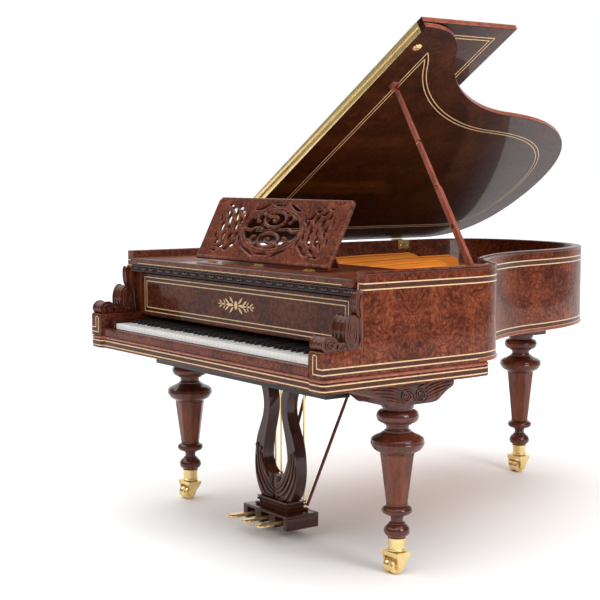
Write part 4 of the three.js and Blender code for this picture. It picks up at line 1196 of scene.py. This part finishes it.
# ---- lyre ----
def make_lyre():
    outer = np.vstack(
        [
            [(0, 127), (84, 127)],
            bezier((84, 127), (118, 160), (136, 215), (122, 300), 14),
            bezier((122, 300), (112, 370), (69, 405), (69, 465), 14),
            bezier((69, 465), (69, 515), (96, 540), (112, 598), 12),
        ]
    )
    inner = np.vstack(
        [
            [(72, 598)],
            bezier((72, 598), (62, 560), (39, 530), (39, 465), 12),
            bezier((39, 465), (39, 410), (80, 340), (77, 270), 14),
            bezier((77, 270), (75, 235), (40, 206), (0, 206), 12),
        ]
    )
    right = np.vstack([outer, inner])
    outline = np.vstack([right, (right[1:-1] * [-1, 1])[::-1]])
    parts = [
        prism(outline, 352, 402, "y"), box(-150, 150, 344, 416, 597, 640),
        box(-140, 140, 352, 408, 639, 649.4),
    ]
    piece("lyre_pillar_wood", merge(parts), LYRE_WOOD, ["lyre_pillars"], bevel=3.0)

    ropes = []
    for side in (1, -1):
        for line in (
            [(6, 136), (48, 150), (84, 190), (104, 240), (114, 306)], [
                (4, 148), (40, 166), (70, 204), (92, 250), (98, 300),
            ],
            [(4, 162), (34, 180), (60, 212), (80, 250), (86, 284)], [
                (10, 131), (62, 134), (94, 170), (116, 216), (122, 268),
            ],
            [(12, 176), (34, 190), (52, 210), (64, 232), (72, 250)],
        ):
            line = [(side * u, 350.5, v) for u, v in line]
            ropes.append(swelling_rope(line, 6, 0.6, [3.4, 6.0, 2.2]))
        for cx, cz, size in ((22, 196, 13), (112, 306, 9), (92, 296, 8)):
            points, faces = spiral_rope((side * cx, cz), (size, size), 1.8, 0, 3.0, 0.6)
            ropes.append((points[:, [1, 0, 2]] + [0, 349.5, 0], faces))
    piece("lyre_carving", merge(ropes), CARVED, crease=60)

    slab = [
        (
            92, 336, 424,
            [
                (-40, 110), (0, 110), (1, 113), (0, 116), (-3, 118), (-3, 120), (0, 122), (0, 126.4),
                (-40, 126.4),
            ],
        ),
        (86, 342, 422, [(-40, 100), (0, 100), (0, 111), (-40, 111)]),
        (96, 333, 428, [(-40, 91), (0, 91), (2, 93), (2, 98), (-2, 101), (-40, 101)]),
    ]
    steps = []
    for half, y0, y1, profile in slab:
        low, high = min(z for _, z in profile), max(z for _, z in profile)
        loop = [(-half, y1), (-half, y0), (half, y0), (half, y1)]
        steps.append(sweep(loop, profile, closed=True))
        steps.append(box(-half + 30, half - 30, y0 + 30, y1 - 30, low, high))
    wing = [box(-138, 138, 428, 444, 38, 90.6), box(-138, 138, 305, 430, 80.4, 90.6)]
    for x0, x1 in ((-138, -112.5), (-63.5, -24.5), (24.5, 63.5), (112.5, 138)):
        wing.append(box(x0, x1, 305, 430, 38, 81))
    piece("pedal_box_wood", merge(wing), LYRE_WOOD, ["pedal_box"], bevel=1.6)
    piece("pedal_plinth_wood", merge(steps), DARK)

    for name in ("soft", "middle", "sustain"):
        x = middle(f"pedal_{name}")[0]
        rod_y = middle(f"pedal_rod_{name}")[1]
        pedal = pedal_shape(x, middle(f"pedal_{name}")[2])
        piece(f"pedal_{name}_brass", pedal, BRASS, [f"pedal_{name}"], f"pedal_{name}")
        if name == "middle":
            collar = lathe([(0, 214), (4, 214), (9, 216), (9, 221), (5, 224), (0, 224)], 24, (x, rod_y))
        else:
            collar = lathe([(0, 72), (6, 72), (6, 78), (0, 78)], 20, (x, rod_y))
        rod = merge([tube([(x, rod_y, 70.6), (x, rod_y, 589)], 3.8, 16), collar])
        piece(f"pedal_rod_{name}_brass", rod, BRASS, [f"pedal_rod_{name}"], f"rod_{name}")
    for sign, name in SIDES:
        brace = tube(
            [(sign * 84, 434, 104), (sign * 112, 539, 374), (sign * 140, 645, 643)], [5.4, 6.2, 5.4], 14,
        )
        piece(f"lyre_brace_{name}_wood", brace, RED_DARK, [f"lyre_brace_{name}"])


def pedal_shape(x, z):
    """A cast pedal: slim shank widening into a rounded, domed toe."""
    stations = [
        (206, 0.5, 0.4), (207, 7, 2.6), (210, 12, 4.6), (218, 17, 6.4), (232, 19, 7.4), (248, 18, 7.4),
    ]
    stations += [(264, 14, 6.6), (280, 9.6, 5.4), (296, 7.4, 4.6), (330, 7, 4.2), (420, 7, 4.0)]
    line = smooth_curve(stations, 3)
    points, sides = [], 16
    for y, half, thick in line:
        for k in range(sides):
            angle = 2 * math.pi * k / sides
            c, s = math.cos(angle), math.sin(angle)
            points.append(
                (x + half * math.copysign(abs(c) ** 0.8, c), y, z + thick * math.copysign(abs(s) ** 0.7, s)),
            )
    return np.array(points), end_caps(len(line), sides) + grid_faces(len(line), sides)


make_case()
make_arms()
make_inside()
make_keys()
make_front()
make_desk()
make_lid()
make_prop()
make_legs()
make_lyre()


# ---- studio ----
SUN_POWER, SUN_ANGLE = 3.5, 95
SIDE_POWER = 140
LENS = 81.3
EYE = (3.952, -2.458, 1.307)  # metres from the front of the base moulding
LOOK_DOWN, AZIMUTH = 5.361, 53.528


def aimed(direction):
    """The turn that points a light along a direction."""
    return direction.to_track_quat("-Z", "Y").to_euler()


def make_studio():
    floor = bpy.data.materials.new("studio_floor")
    floor.use_nodes = True
    tree = floor.node_tree
    surface = tree.nodes["Principled BSDF"]
    surface.inputs["Base Color"].default_value = (0.94, 0.935, 0.93, 1)
    surface.inputs["Roughness"].default_value = 0.6
    surface.inputs["Specular IOR Level"].default_value = 0.1
    mesh = bpy.data.meshes.new("studio_floor")
    far = 60
    mesh.from_pydata([(-far, -far, 0), (far, -far, 0), (far, far, 0), (-far, far, 0)], [], [(0, 1, 2, 3)])
    mesh.materials.append(floor)
    placed("studio_floor", mesh)

    world = bpy.data.worlds.new("studio")
    world.use_nodes = True
    tree = world.node_tree
    where = add(tree, "TexCoord").outputs["Generated"]
    toward = add(
        tree, "VectorMath", {0: where, 1: (-0.804, 0.594, -0.05)}, operation="DOT_PRODUCT",
    ).outputs["Value"]
    shade = ramp(tree, toward, [(0.45, grey(0.12)), (0.75, grey(1.0))])
    tree.links.new(shade, tree.nodes["Background"].inputs[0])
    bpy.context.scene.world = world

    sun = bpy.data.lights.new("overhead", "SUN")
    sun.energy = SUN_POWER
    sun.angle = math.radians(SUN_ANGLE)
    placed("overhead", sun).rotation_euler = aimed(Vector((0.04, 0.22, -0.975)))

    side = bpy.data.lights.new("side", "AREA")
    side.shape = "RECTANGLE"
    side.size, side.size_y = 2.2, 2.4
    side.energy = SIDE_POWER
    lamp, place = placed("side", side), Vector((5.4, 0.2, 3.0))
    lamp.location = place
    lamp.rotation_euler = aimed(Vector((0.3, 0.0, 0.8)) - place)
    bpy.context.scene.view_settings.view_transform = "Standard"

    camera = bpy.data.cameras.new("camera")
    camera.sensor_width = 36
    camera.lens = LENS
    thing = placed("camera", camera)
    thing.location = Vector(EYE) + Vector(ORIGIN)
    thing.rotation_euler = (math.radians(90 - LOOK_DOWN), 0, math.radians(AZIMUTH))
    bpy.context.scene.camera = thing


make_studio()
